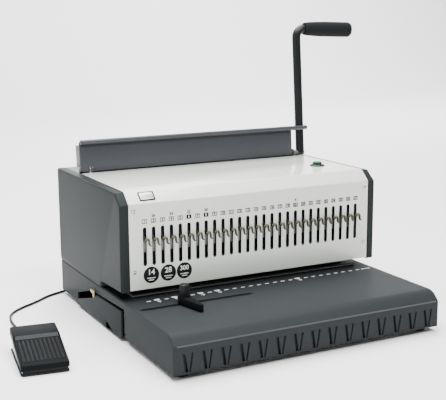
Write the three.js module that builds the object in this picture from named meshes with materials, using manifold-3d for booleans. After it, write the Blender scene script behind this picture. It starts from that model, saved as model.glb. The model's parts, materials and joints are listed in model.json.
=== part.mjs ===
// Comb binding machine: an electric hole punch with a hand lever that opens the
// binding combs, and a foot pedal on a lead. Millimetres, +Z up, +X along the width.
// The machine is drawn about its front panel: X 0 is the middle of the hook row,
// Y 0 the face of the panel, Z 0 the surface that it stands on.

import * as THREE from 'three';
import { ConvexGeometry } from 'three/addons/geometries/ConvexGeometry.js';
import { mergeVertices } from 'three/addons/utils/BufferGeometryUtils.js';
import Module from 'manifold-3d';

const wasm = await Module();
wasm.setup();

// Clearances that all the pieces share
const fit = 0.3;
const overrun = 1;
const roundSides = 24;
const smallSides = 16;
const tinySides = 12;
const motorSides = 32;

// Hook row and hole row
const hookCount = 27;
const hookPitch = 14.2875;
const rowHalf = hookPitch * (hookCount - 1) / 2;

// Front cover: one bent sheet with the slots of the hooks
const coverMargin = 24.26;
const coverSheet = 1.5;
const panelHeight = 129;
const chamferDepth = 18.8;
const chamferRise = 16.7;
const coverDepth = 201;
const slotWidth = 4.4;
const slotHeight = 56.2;
const slotRise = 36.3;
const slotArcSides = 4;

// Base housing
const footHeight = 8;
const footRadius = 11;
const footTaper = 1.5;
const footInset = 20.5;
const footFrontInset = 23;
const footRearInset = 26;
const baseHeight = 54;
const baseWall = 2.5;
const baseFront = 173;
const baseRearLedge = 7;
const baseFrontWall = 7;
const noseDepth = 19;
const noseDrop = 14;
const baseRearChamfer = 3;
const basePlateSheet = 1.5;
const fluteCount = 15;
const flutePitch = 28.5;
const fluteWidth = 17;
const fluteFootWidth = 6;
const fluteDepth = 4.5;
const fluteRise = 1.5;
const fluteHeight = 31;
const fluteCrestShare = 0.7;

// Side covers
const sideThickness = 13.4;
const sideOverhang = 3.2;
const sideWall = 2.5;
const sideDepth = 289;
const sideDrop = 1.7;
const sideChamferDepth = 19.5;
const sideChamferRise = 16;
const sideBevel = 3;
const sideStepDepth = 100;
const sideStepRun = 12;
const sideMouth = 14;
const sideSeam = 0.6;
const sideRearChamferRise = 17;
const sideRearChamferDepth = 11;

// Rear cover
const rearGapFront = 16.3;
const rearInset = 1.5;

// Throat: die plate with its paper stop, and punch guide
const punchSetback = 44;
const throatMouth = 16;
const dieThickness = 4;
const dieFront = 20;
const dieMargin = 14;
const throatGap = 4.5;
const guideThickness = 9.5;
const guideFront = 31;
const stopSetback = 52;
const stackRear = 71.7;
const pinWidth = 8;
const pinThickness = 3;
const pinTipLift = 0.5;
const pinStripHeight = 12;
const pinStripLift = 20;
const chipSlotWidth = 6;

// Side frames and what runs on them
const frameClear = 0.76;
const frameSheet = 2.5;
const frameStackClear = 4;
const frameTopClear = 4.2;
const frameRearClear = 1.8;
const frameRailFront = 8;
const framePinClear = 23;
const framePinSpare = 7.5;
const linkSheet = 2.2;

// Punch drive
const camShaftRadius = 6;
const camShaftDrop = 33.7;
const camPlace = 120;
const camWidth = 10;
const camSmallRadius = 10;
const punchStroke = 12;
const camSides = 48;
const punchBarHeight = 18;
const punchBarDepth = 14;
const punchBarEndClear = 2.5;
const yokeWidth = 12;
const yokeWall = 3;
const yokeClear = 1.2;
const yokeSill = 4;

// Gears and motor
const gearModule = 1.5;
const driveTeeth = 32;
const pinionTeeth = 12;
const gearWidth = 7;
const gearSetback = 7.5;
const pressureAngle = THREE.MathUtils.degToRad(20);
const toothShare = 0.42;
const addendumShare = 0.8;
const dedendumShare = 1.2;
const pinionShaftRadius = 3;
const gearboxWidth = 40;
const gearboxFront = 57;
const gearboxDepth = 65;
const gearboxHeight = 40;
const gearboxShaftGap = 4;
const motorRadius = 20;
const motorLength = 72;
const motorSetback = 100;
const bracketSheet = 3;
const bracketHeight = 36;

// Lever, its shaft and the flap that swings with it
const leverShaftRadius = 4.5;
const leverSetback = 8;
const leverRise = 4.3;
const leverLean = THREE.MathUtils.degToRad(4.58);
const leverTubeRadius = 7;
const leverTubeWall = 1.5;
const leverPlace = 209.3;
const leverTubeFoot = 0.5;
const tubeSides = 12;
const tubeBendSteps = 6;
const leverHeight = 221.7;
const leverBend = 15.5;
const bendPullShare = 0.5523;
const gripStart = 16;
const gripLength = 102;
const gripCollarRadius = 9.5;
const gripRadius = 13;
const gripEndRound = 4;
const gripCapWall = 9;
const gripCollarLength = 9.5;
const gripEdgeShare = 0.3;
const flapLeft = 211;
const flapRight = 188;
const flapSheet = 1.5;
const flapHeight = 40;
const flapFlange = 20;
const flapRodRadius = 3.8;
const flapRodEnd = 219;
const lugRadius = 7.5;
const lugNotchClear = 0.9;

// Linkage from the lever to the hooks
const linkSwing = THREE.MathUtils.degToRad(25);
const crankReach = 30;
const crankHalfWidth = 4;
const crankHubRadius = 6.5;
const crankPinRadius = 2.5;
const crankPinHead = 0.6;
const bellSetback = 52;
const bellDrop = 73.7;
const bellArm = 37.9;
const bellStudRadius = 4;
const bellHubRadius = 8;
const linkHalfWidth = 5;

// Hooks and their slide
const hookSheet = 2.5;
const hookPlateGap = 2;
const hookPlateDrop = 15;
const hookPlateTop = 5;
const hookReach = 8.5;
const hookBand = 2.4;
const hookWebRise = 15;
const hookArmDrop = 15.5;
const hookArmHeight = 6;
const hookArmLength = 8;
const hookTipWidth = 3;
const hookTipDrop = 9;
const slideHeight = 56;
const slideLugThickness = 3;
const slideLugInset = 5;
const slideLugReach = 14.7;
const slideLugHeight = 12;
const slideSlotHalf = 3;
const slideSlotFront = 2.4;
const slideSlotRear = 12.1;
const railDrop = 7;

// Chip drawer
const drawerFront = 10;
const drawerRear = 212;
const drawerTop = 47;
const drawerPanelFoot = 3.5;
const drawerPanelProud = 2;
const drawerPanelSheet = 3;
const drawerGap = 2;
const drawerFrontGap = 9;
const drawerTopGap = 4.5;
const drawerNotchFront = 46;
const drawerNotchLength = 27;
const drawerNotchHeight = 9;
const drawerNotchTop = 8;
const trayFront = 20;
const trayRear = 118;
const trayHeight = 24;
const trayWall = 1.5;
const trayEndClear = 30;
const drawerKneeShare = 0.53;
const drawerSlopeShare = 0.64;
const drawerSlopeDrop = 14.4;
const drawerTailRise = 14.4;
const drawerTailSetback = 6;
const openingKnee = 140;
const baseNotchLead = 4;
const baseNotchHeight = 7;
const catchFront = 119;
const catchLength = 16;
const catchTop = 50;
const catchHeight = 6;
const catchReach = 2.5;
const catchFootLength = 6;
const catchFootDrop = 5;

// Edge guide on the deck
const guideSlotSetback = 45;
const guideSlotWidth = 4;
const guideSlotLeft = 212;
const guideSlotRight = 33;
const guidePlace = -144;
const guideFlangeHalf = 9.5;
const guideFlangeHeight = 4.2;
const guideArmWidth = 5.5;
const guideArmHeight = 11.7;
const guideArmReach = 49;
const knobRadius = 7.5;
const knobHeight = 23.2;
const knobRidges = 18;
const knobRidgeDepth = 0.6;
const clampHalf = 12;
const clampThickness = 4;
const studRadius = 1.6;
const studDepthInKnob = 14;

// Power button
const buttonPlace = 165;
const buttonSetback = 83;
const bezelRadius = 12.5;
const bezelHeight = 2.6;
const bezelBarrelRadius = 10;
const bezelDepth = 11.4;
const capRadius = 7.5;
const capHeight = 4.2;
const capDepth = 10.4;

// Screws of the front panel
const screwInset = 7;
const screwTopDrop = 10.5;
const screwBottomRise = 28;
const screwHeadRadius = 3.2;
const screwHeadHeight = 1.6;
const screwShankRadius = 1.5;
const screwShankLength = 8;

// Electrics
const boardLength = 100;
const boardDepth = 70;
const boardSheet = 1.6;
const boardLift = 8;
const boardPlace = -100;
const boardSetback = 155;
const boardPostRadius = 3;
const boardPostInset = 6;
const relayLength = 28;
const relayDepth = 16;
const relayHeight = 15;
const transformerPlace = 55;
const transformerSetback = 180;
const transformerLength = 66;
const transformerDepth = 44;
const transformerHeight = 50;
const windingLength = 40;
const windingDepth = 62;
const windingInset = 8;
const inletPlace = -150;
const inletHeight = 100;
const inletWidth = 28;
const inletTall = 21;
const inletFlangeWidth = 40;
const inletFlangeTall = 26;
const inletFlangeSheet = 2.5;
const inletDepth = 24;
const inletMouthWidth = 24;
const inletMouthTall = 16.5;
const inletMouthDepth = 15;
const inletBladeLength = 8.5;
const inletBladeWidth = 2;
const inletBladeTall = 4;
const inletBladeSpread = 7;

// Lead and its glands
const cordRadius = 2;
const cordSides = 8;
const cordLift = 0.06;
const glandPlace = -70;
const glandHeight = 22;
const glandRadius = 6.5;
const glandNeck = 4.5;
const glandTip = 3;
const glandLength = 24;
const glandFlange = 3;
const coilCentre = [-136, 353.5];
const coilOuterRadius = 31.5;
const coilInnerRadius = 16.4;
const coilTurns = 6;
const coilLayerRise = 4.7;
const coilStart = THREE.MathUtils.degToRad(90);
const coilOverturn = THREE.MathUtils.degToRad(60);
const coilStepsPerTurn = 24;
const coilSides = 6;
const coilLeadOut = 4;
const gapFineness = 4;
const machineRunSteps = 22;
const pedalRunSteps = 56;

// Foot pedal
const pedalPlace = [-353, -8];
const pedalTurn = THREE.MathUtils.degToRad(-8);
const pedalHalfWidth = 32;
const pedalHalfLength = 55;
const pedalMatSheet = 2;
const pedalSheet = 1.2;
const pedalHump = 30;
const pedalToe = 15.5;
const pedalSkirt = 8;
const pedalSkirtWall = 2;
const pedalTopWall = 2.5;
const pedalHumpRear = 53;
const pedalHumpFront = 20;
const pedalBandFront = 8;
const pedalBandDrop = 6;
const pedalToeSetback = 50;
const pedalToeRound = 2.5;
const pedalHeel = 24;
const pedalFrontFoot = 6;
const pedalWallDrop = 6.5;
const pedalSwingClear = 1.4;
const pedalPinSetback = 46;
const pedalPinHeight = 21;
const pedalPinRadius = 2;
const pedalLugWidth = 3;
const pedalLugInset = 4;
const pedalLugRadius = 4.5;
const pedalGrooves = 10;
const pedalGroovePitch = 5.5;
const pedalGrooveWidth = 1.6;
const pedalGrooveDepth = 0.8;
const switchLength = 20;
const switchWidth = 8;
const switchHeight = 10;
const switchPlace = 6;
const plungerRadius = 1.5;
const plungerHeight = 2.4;
const pedalGlandRadius = 4.2;
const pedalCordLevel = 5.5;
const pedalGlandLength = 7;
const pedalGlandHeight = 9;
const pedalGlandPlace = 6;

// Levels and planes that follow from the sizes above
const deck = footHeight + baseHeight;
const dieTop = deck + dieThickness;
const guideBottom = dieTop + throatGap;
const guideTop = guideBottom + guideThickness;
const panelBottom = deck + throatMouth;
const panelTop = panelBottom + panelHeight;
const coverTop = panelTop + chamferRise;
const coverUnder = coverTop - coverSheet;
const slotBottom = panelBottom + slotRise;
const slotTop = slotBottom + slotHeight;
const coverHalf = rowHalf + coverMargin;
const sideInner = coverHalf + fit;
const sideOuter = sideInner + sideThickness;
const sideTop = coverTop - sideDrop;
const baseHalf = sideOuter - sideOverhang;
const basePlateTop = footHeight + basePlateSheet;
const rearCoverRear = sideDepth - rearInset;
const baseRear = sideDepth + baseRearLedge;
const frameInner = rowHalf + pinWidth / 2 + frameClear;
const frameOuter = frameInner + frameSheet;
const crankInner = frameOuter + fit;
const crankOuter = crankInner + linkSheet;
const linkInner = crankOuter + fit;
const linkOuter = linkInner + linkSheet;
const camShaftHeight = coverTop - camShaftDrop;
const camLargeRadius = camSmallRadius + punchStroke;
const leverY = coverDepth + leverSetback;
const leverZ = coverTop + leverRise;
const pinTip = guideBottom + pinTipLift;
const stripBottom = guideTop + pinStripLift;
const barBottom = stripBottom + pinStripHeight;
const barTop = barBottom + punchBarHeight;
const gearCentres = gearModule * (driveTeeth + pinionTeeth) / 2;
const gearRight = frameInner - gearSetback;
const gearLeft = gearRight - gearWidth;
const gearboxRight = gearLeft - gearboxShaftGap;
const gearboxLeft = gearboxRight - gearboxWidth;
const hookPlateFront = coverSheet + hookPlateGap;
const hookPlateRear = hookPlateFront + hookSheet;
const slideFront = hookPlateRear + fit;
const slideRear = slideFront + hookSheet;
const slideTop = slotBottom + slideHeight;
const slideEnd = frameInner - frameClear * 2;
const hookWebTop = slotTop - hookPlateTop;
const hookWebBottom = hookWebTop - hookWebRise;
const hookArmTop = hookWebTop - hookArmDrop + hookArmHeight;
const bellHeight = coverTop - bellDrop;
const railTop = panelTop - railDrop;
const bellTipY = bellSetback - bellArm * Math.cos(linkSwing);
const bellTipZ = bellHeight + bellArm * Math.sin(linkSwing);

// Finishes: colour, roughness and metalness of each kind of piece
const finishes = {
  creamPaint: { color: 0xe1e5dc, roughness: 0.22, metalness: 0 },
  greyPlastic: { color: 0x5c6062, roughness: 0.55, metalness: 0 },
  sidePlastic: { color: 0x687072, roughness: 0.5, metalness: 0 },
  bluePaint: { color: 0x4a4c54, roughness: 0.4, metalness: 0.1 },
  blackPaint: { color: 0x16181a, roughness: 0.2, metalness: 0.1 },
  blackPlastic: { color: 0x222527, roughness: 0.5, metalness: 0 },
  rubber: { color: 0x2a2d2f, roughness: 0.85, metalness: 0 },
  goldZinc: { color: 0xb9a86a, roughness: 0.35, metalness: 1 },
  brightSteel: { color: 0xc4c8ca, roughness: 0.3, metalness: 1 },
  darkSteel: { color: 0x6d7174, roughness: 0.45, metalness: 1 },
  zincSheet: { color: 0xbcc6c8, roughness: 0.45, metalness: 0.8 },
  greenPlastic: { color: 0x237346, roughness: 0.35, metalness: 0 },
  boardGreen: { color: 0x2c5a3c, roughness: 0.6, metalness: 0 },
  brass: { color: 0xc9b27a, roughness: 0.35, metalness: 1 },
};

// Solids from geometries and back

function solidOf(geometry) {
  const bare = geometry.clone();
  bare.deleteAttribute('normal');
  bare.deleteAttribute('uv');
  const merged = mergeVertices(bare, 1e-4);
  const vertProperties = new Float32Array(merged.attributes.position.array);
  const triVerts = new Uint32Array(merged.index.array);
  return new wasm.Manifold(new wasm.Mesh({ numProp: 3, vertProperties, triVerts }));
}

function geometryOf(solid) {
  const mesh = solid.getMesh();
  const geometry = new THREE.BufferGeometry();
  geometry.setAttribute('position', new THREE.BufferAttribute(new Float32Array(mesh.vertProperties), 3));
  geometry.setIndex(new THREE.BufferAttribute(new Uint32Array(mesh.triVerts), 1));
  geometry.computeVertexNormals();
  return geometry;
}

function join(...geometries) {
  const solids = geometries.map(solidOf);
  return geometryOf(solids.reduce((whole, next) => whole.add(next)));
}

function cut(geometry, ...tools) {
  const start = solidOf(geometry);
  return geometryOf(tools.map(solidOf).reduce((whole, tool) => whole.subtract(tool), start));
}

// Simple shapes by their faces

function block([x0, x1], [y0, y1], [z0, z1]) {
  const geometry = new THREE.BoxGeometry(x1 - x0, y1 - y0, z1 - z0);
  return geometry.translate((x0 + x1) / 2, (y0 + y1) / 2, (z0 + z1) / 2);
}

function rodX(radius, [x0, x1], y, z, sides = roundSides) {
  const geometry = new THREE.CylinderGeometry(radius, radius, x1 - x0, sides);
  return geometry.rotateZ(-Math.PI / 2).translate((x0 + x1) / 2, y, z);
}

function rodY(radius, x, [y0, y1], z, sides = roundSides) {
  const geometry = new THREE.CylinderGeometry(radius, radius, y1 - y0, sides);
  return geometry.translate(x, (y0 + y1) / 2, z);
}

function rodZ(radius, x, y, [z0, z1], sides = roundSides) {
  const geometry = new THREE.CylinderGeometry(radius, radius, z1 - z0, sides);
  return geometry.rotateX(Math.PI / 2).translate(x, y, (z0 + z1) / 2);
}

function shapeOf(points) {
  return new THREE.Shape(points.map(([a, b]) => new THREE.Vector2(a, b)));
}

// An outline in Y and Z, carried along X
function plateX(points, [x0, x1]) {
  const geometry = new THREE.ExtrudeGeometry(shapeOf(points), { depth: x1 - x0, bevelEnabled: false });
  const turn = new THREE.Matrix4().makeBasis(
    new THREE.Vector3(0, 1, 0), new THREE.Vector3(0, 0, 1), new THREE.Vector3(1, 0, 0));
  return geometry.applyMatrix4(turn).translate(x0, 0, 0);
}

// An outline in X and Z, carried along Y
function plateY(points, [y0, y1]) {
  const geometry = new THREE.ExtrudeGeometry(shapeOf(points), { depth: y1 - y0, bevelEnabled: false });
  return geometry.rotateX(Math.PI / 2).translate(0, y1, 0);
}

// Moves each edge of an outline sideways: inwards on a closed one that runs anticlockwise
function shifted(points, distance, closed = true) {
  const last = points.length - 1;
  return points.map(([a, b], index) => {
    const before = index > 0 ? points[index - 1] : closed ? points[last] : null;
    const after = index < last ? points[index + 1] : closed ? points[0] : null;
    const arriving = before && new THREE.Vector2(a - before[0], b - before[1]).normalize();
    const leaving = after && new THREE.Vector2(after[0] - a, after[1] - b).normalize();
    const first = arriving ?? leaving;
    const second = leaving ?? arriving;
    const step = distance / (1 + first.dot(second));
    return [a - (first.y + second.y) * step, b + (first.x + second.x) * step];
  });
}

// The section of a bent sheet whose outer face follows the points
function sheetOf(points, thickness) {
  return [...points, ...shifted(points, thickness, false).reverse()];
}

// A lathe profile of [radius, height] pairs that starts and ends on the axis
function lathe(profile, sides = roundSides) {
  return new THREE.LatheGeometry(profile.map(([r, h]) => new THREE.Vector2(r, h)), sides);
}

// The scene graph
const binder = new THREE.Group();
const machine = new THREE.Group();
binder.add(machine);

const lever = new THREE.Group();
lever.position.set(0, leverY, leverZ);
lever.rotation.x = -leverLean;
machine.add(lever);

const pedal = new THREE.Group();
pedal.position.set(...pedalPlace, 0);
pedal.rotation.z = pedalTurn;
machine.add(pedal);

function place(parent, name, geometry, finish, position = [0, 0, 0]) {
  const mesh = new THREE.Mesh(geometry, new THREE.MeshStandardMaterial(finishes[finish]));
  mesh.name = name;
  mesh.position.set(...position);
  parent.add(mesh);
  return mesh;
}

const bothSides = [['left', -1], ['right', 1]];

// A span from inner to outer on the left or right of the middle
function spanOn(side, inner, outer) {
  return side < 0 ? [-outer, -inner] : [inner, outer];
}

// Base housing, its floor and feet

const baseNose = baseFront - noseDepth;
const baseOutline = [
  [-baseFront, footHeight],
  [baseRear, footHeight],
  [baseRear, deck - baseRearChamfer],
  [baseRear - baseRearChamfer, deck],
  [-baseNose, deck],
  [-baseFront, deck - noseDrop],
];
const openingFront = drawerFront - drawerFrontGap;
const drawerOpening = [
  [openingFront - baseNotchLead, footHeight - overrun],
  [drawerRear + drawerGap / 2, footHeight - overrun],
  [drawerRear - drawerGap, drawerTop / 2],
  [openingKnee, drawerTop - drawerGap],
  [openingFront, drawerTop + drawerTopGap],
  [openingFront, footHeight + baseNotchHeight],
  [openingFront - baseNotchLead, footHeight + baseNotchHeight],
];

// A flute starts wide and flush at its top, and narrows and deepens to its foot
function fluteTool(index) {
  const centre = (index - (fluteCount - 1) / 2) * flutePitch;
  const bottom = footHeight + fluteRise;
  const left = centre - fluteFootWidth / 2;
  const corners = [-overrun, 0].flatMap((inward) => [
    [centre - fluteWidth / 2, inward, bottom + fluteHeight],
    [centre + fluteWidth / 2, inward, bottom + fluteHeight],
    [left, inward, bottom],
    [left + fluteFootWidth, inward, bottom],
  ]);
  corners.push([left + fluteFootWidth * fluteCrestShare, fluteDepth, bottom]);
  return new ConvexGeometry(corners.map(([x, inward, z]) => new THREE.Vector3(x, inward - baseFront, z)));
}

const insideFront = -baseFront + baseFrontWall;
const baseInside = shifted(baseOutline, baseWall).map(([y, z]) => [
  Math.max(y, insideFront), z < deck / 2 ? footHeight - overrun : z]);
const flutes = Array.from({ length: fluteCount }, (_, index) => fluteTool(index));
const baseCover = cut(
  plateX(baseOutline, [-baseHalf, baseHalf]),
  plateX(baseInside, [-baseHalf + baseWall, baseHalf - baseWall]),
  plateX(drawerOpening, [-baseHalf - overrun, -baseHalf + baseWall + overrun]),
  block([-guideSlotLeft, -guideSlotRight],
    [-guideSlotSetback - guideSlotWidth / 2, -guideSlotSetback + guideSlotWidth / 2],
    [deck - baseWall - overrun, deck + overrun]),
  block([-rowHalf - pinWidth, rowHalf + pinWidth],
    [punchSetback - chipSlotWidth / 2, punchSetback + chipSlotWidth / 2],
    [deck - baseWall - overrun, deck + overrun]),
  rodY(glandNeck + fit, glandPlace, [baseRear - baseWall - overrun, baseRear + overrun], glandHeight),
  ...flutes,
);
place(machine, 'base_cover', baseCover, 'greyPlastic');

const plateInset = baseWall + fit;
place(machine, 'base_plate', block(
  [-baseHalf + plateInset, baseHalf - plateInset],
  [insideFront + fit, baseRear - plateInset],
  [footHeight, basePlateTop]), 'darkSteel');

const footProfile = [
  [0, 0], [footRadius - footTaper, 0], [footRadius, footHeight - footTaper],
  [footRadius, footHeight], [0, footHeight],
];
for (const [end, y] of [['front', -baseFront + footFrontInset], ['rear', baseRear - footRearInset]]) {
  for (const [name, side] of bothSides) {
    const foot = lathe(footProfile).rotateX(Math.PI / 2);
    place(machine, `foot_${end}_${name}`, foot, 'rubber', [side * (baseHalf - footInset), y, 0]);
  }
}

// Chip drawer, its panel and catch

const panelSpan = [-baseHalf - drawerPanelProud, -baseHalf - drawerPanelProud + drawerPanelSheet];
const notchRear = drawerNotchFront + drawerNotchLength;
const drawerPanel = plateX([
  [drawerFront, drawerPanelFoot],
  [drawerNotchFront, drawerPanelFoot],
  [notchRear - drawerNotchTop, drawerPanelFoot + drawerNotchHeight],
  [notchRear, drawerPanelFoot + drawerNotchHeight],
  [notchRear, drawerPanelFoot],
  [drawerRear, drawerPanelFoot],
  [drawerRear - drawerTailSetback, drawerTailRise],
  [drawerFront + (drawerRear - drawerFront) * drawerSlopeShare, drawerTop - drawerSlopeDrop],
  [drawerFront + (drawerRear - drawerFront) * drawerKneeShare, drawerTop - drawerPanelSheet],
  [drawerFront, drawerTop],
], panelSpan);
const trayBottom = basePlateTop + fit;
const traySpan = [panelSpan[1] - overrun, frameInner - trayEndClear];
const tray = cut(
  block(traySpan, [trayFront, trayRear], [trayBottom, trayBottom + trayHeight]),
  block([panelSpan[1] + trayWall, traySpan[1] - trayWall],
    [trayFront + trayWall, trayRear - trayWall],
    [trayBottom + trayWall, trayBottom + trayHeight + overrun]),
);
place(machine, 'chip_drawer', join(drawerPanel, tray), 'greyPlastic');

const catchSpan = [panelSpan[0] - catchReach, panelSpan[0] - fit];
place(machine, 'drawer_catch', join(
  block(catchSpan, [catchFront, catchFront + catchLength], [catchTop - catchHeight, catchTop]),
  block(catchSpan, [catchFront, catchFront + catchFootLength],
    [catchTop - catchHeight - catchFootDrop, catchTop - catchHeight / 2]),
), 'brass');

// Edge guide, its knob and the clamp under the deck

const guideTopFace = deck + fit + guideFlangeHeight;
const armRear = -guideSlotSetback - knobRadius - overrun;
const guideArmRight = guidePlace + guideFlangeHalf - guideArmWidth / 2;
const studHole = rodZ(studRadius + fit, guidePlace, -guideSlotSetback,
  [deck, guideTopFace + overrun], smallSides);
place(machine, 'edge_guide', cut(join(
  block([guidePlace - guideFlangeHalf, guidePlace + guideFlangeHalf],
    [-guideSlotSetback - guideFlangeHalf, -guideSlotSetback + guideFlangeHalf],
    [deck + fit, guideTopFace]),
  block([guideArmRight - guideArmWidth, guideArmRight],
    [-guideSlotSetback - guideArmReach, armRear],
    [deck + fit, deck + guideArmHeight]),
), studHole), 'blackPlastic');

function ridgedCircle(radius, ridges, depth) {
  const points = [];
  for (let index = 0; index < ridges * 2; index += 1) {
    const angle = index * Math.PI / ridges;
    const reach = index % 2 ? radius : radius - depth;
    points.push([reach * Math.cos(angle), reach * Math.sin(angle)]);
  }
  return points;
}

const knobBottom = guideTopFace + fit;
const knobShape = new THREE.ExtrudeGeometry(shapeOf(ridgedCircle(knobRadius, knobRidges, knobRidgeDepth)),
  { depth: knobHeight, bevelEnabled: false });
place(machine, 'guide_knob', cut(knobShape,
  rodZ(studRadius + fit, 0, 0, [-overrun, studDepthInKnob], smallSides)),
'blackPlastic', [guidePlace, -guideSlotSetback, knobBottom]);

const clampTop = deck - baseWall - fit;
place(machine, 'guide_clamp', join(
  block([guidePlace - clampHalf, guidePlace + clampHalf],
    [-guideSlotSetback - clampHalf, -guideSlotSetback + clampHalf],
    [clampTop - clampThickness, clampTop]),
  rodZ(studRadius, guidePlace, -guideSlotSetback,
    [clampTop - clampThickness / 2, knobBottom + studDepthInKnob - fit], smallSides),
), 'darkSteel');

// Side covers

const sideOutline = [
  [0, deck + sideMouth],
  [sideStepDepth - sideStepRun, deck + sideMouth],
  [sideStepDepth, deck + sideSeam],
  [sideDepth - sideRearChamferDepth, deck + sideSeam],
  [sideDepth, deck + sideRearChamferRise],
  [sideDepth, sideTop],
  [sideChamferDepth, sideTop],
  [0, sideTop - sideChamferRise],
];

function sideCover(side) {
  const span = spanOn(side, sideInner, sideOuter);
  const rim = plateX(sideOutline, spanOn(side, sideInner, sideOuter - sideBevel));
  const bevelled = new THREE.ExtrudeGeometry(shapeOf(sideOutline), {
    depth: sideThickness, bevelThickness: sideBevel, bevelSize: sideBevel,
    bevelOffset: -sideBevel, bevelSegments: 1,
  });
  const turn = new THREE.Matrix4().makeBasis(
    new THREE.Vector3(0, 1, 0), new THREE.Vector3(0, 0, 1), new THREE.Vector3(1, 0, 0));
  const start = side < 0 ? -sideOuter + sideBevel : sideOuter - sideBevel - sideThickness;
  bevelled.applyMatrix4(turn).translate(start, 0, 0);
  const beyond = spanOn(side, 0, sideInner);
  const trimmed = cut(bevelled, block(beyond, [-sideDepth, sideDepth * 2], [0, sideTop * 2]));
  const hollow = spanOn(side, sideInner - overrun, sideOuter - sideWall);
  const cavity = plateX(shifted(sideOutline, sideWall), hollow);
  return cut(join(rim, trimmed), cavity);
}

for (const [name, side] of bothSides) {
  place(machine, `${name}_side_cover`, sideCover(side), 'sidePlastic');
}

// Front cover with its slots

const coverLine = [
  [0, panelBottom], [0, panelTop], [chamferDepth, coverTop], [coverDepth, coverTop],
];
const coverSection = sheetOf(coverLine, -coverSheet).reverse();

function slotTool(x) {
  const points = [];
  for (const [centre, start] of [[slotBottom + slotWidth / 2, Math.PI], [slotTop - slotWidth / 2, 0]]) {
    for (let index = 0; index <= slotArcSides; index += 1) {
      const angle = start + index * Math.PI / slotArcSides;
      points.push([x + slotWidth / 2 * Math.cos(angle), centre + slotWidth / 2 * Math.sin(angle)]);
    }
  }
  return plateY(points, [-overrun, coverSheet + overrun]);
}

const hookPlaces = Array.from({ length: hookCount }, (_, index) => index * hookPitch - rowHalf);
const screwHeights = [panelTop - screwTopDrop, panelBottom + screwBottomRise];
const frontCover = cut(
  plateX(coverSection, [-coverHalf, coverHalf]),
  ...hookPlaces.map(slotTool),
  rodZ(bezelBarrelRadius + fit, buttonPlace, buttonSetback, [coverUnder - overrun, coverTop + overrun]),
  ...bothSides.flatMap(([, side]) => screwHeights.map((z) => rodY(
    screwShankRadius + fit, side * (coverHalf - screwInset), [-overrun, coverSheet + overrun], z, tinySides))),
);
place(machine, 'front_cover', frontCover, 'creamPaint');

const screwProfile = [
  [0, 0], [screwShankRadius, 0], [screwShankRadius, screwShankLength], [screwHeadRadius, screwShankLength],
  [screwHeadRadius, screwShankLength + screwHeadHeight / 2],
  [screwHeadRadius / 2, screwShankLength + screwHeadHeight], [0, screwShankLength + screwHeadHeight],
];
for (const [name, side] of bothSides) {
  screwHeights.forEach((z, index) => {
    const screw = lathe(screwProfile, smallSides).rotateZ(Math.PI);
    const level = index ? 'bottom' : 'top';
    place(machine, `panel_screw_${level}_${name}`, screw, 'brightSteel',
      [side * (coverHalf - screwInset), screwShankLength - fit, z]);
  });
}

// Power button

place(machine, 'button_bezel', cut(
  join(
    rodZ(bezelRadius, 0, 0, [fit, bezelHeight]),
    rodZ(bezelBarrelRadius, 0, 0, [-bezelDepth, bezelHeight])),
  rodZ(capRadius + fit, 0, 0, [-bezelDepth - overrun, bezelHeight + overrun]),
), 'blackPlastic', [buttonPlace, buttonSetback, coverTop]);
place(machine, 'power_button', rodZ(capRadius, 0, 0, [-capDepth, bezelHeight + capHeight]),
  'greenPlastic', [buttonPlace, buttonSetback, coverTop]);

// Rear cover with the mains inlet

const rearTop = sideTop;
const rearFront = coverDepth + rearGapFront;
const rearLine = [
  [rearFront, rearTop], [rearCoverRear, rearTop], [rearCoverRear, deck + fit],
];
place(machine, 'rear_cover', cut(
  plateX(sheetOf(rearLine, -coverSheet).reverse(), [-coverHalf, coverHalf]),
  block([inletPlace - inletWidth / 2 - fit, inletPlace + inletWidth / 2 + fit],
    [rearCoverRear - coverSheet - overrun, rearCoverRear + overrun],
    [inletHeight - inletTall / 2 - fit, inletHeight + inletTall / 2 + fit]),
), 'bluePaint');

function inletBox(width, tall, span) {
  return block([-width / 2, width / 2], span, [-tall / 2, tall / 2]);
}

const blades = [[-inletBladeSpread, -1], [inletBladeSpread, -1], [0, 1]].map(([x, level]) => {
  const z = level * inletBladeTall / 2;
  return block([x - inletBladeWidth / 2, x + inletBladeWidth / 2],
    [-inletMouthDepth - overrun, -inletMouthDepth + inletBladeLength],
    [z - inletBladeTall / 2, z + inletBladeTall / 2]);
});
place(machine, 'mains_inlet', join(
  cut(join(
    inletBox(inletFlangeWidth, inletFlangeTall, [fit, inletFlangeSheet]),
    inletBox(inletWidth, inletTall, [-inletDepth, inletFlangeSheet])),
  inletBox(inletMouthWidth, inletMouthTall, [inletFlangeSheet - inletMouthDepth, inletFlangeSheet + overrun])),
  ...blades,
), 'blackPlastic', [inletPlace, rearCoverRear, inletHeight]);

// Side frames with the rails of the hook slide and the bearings

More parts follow.
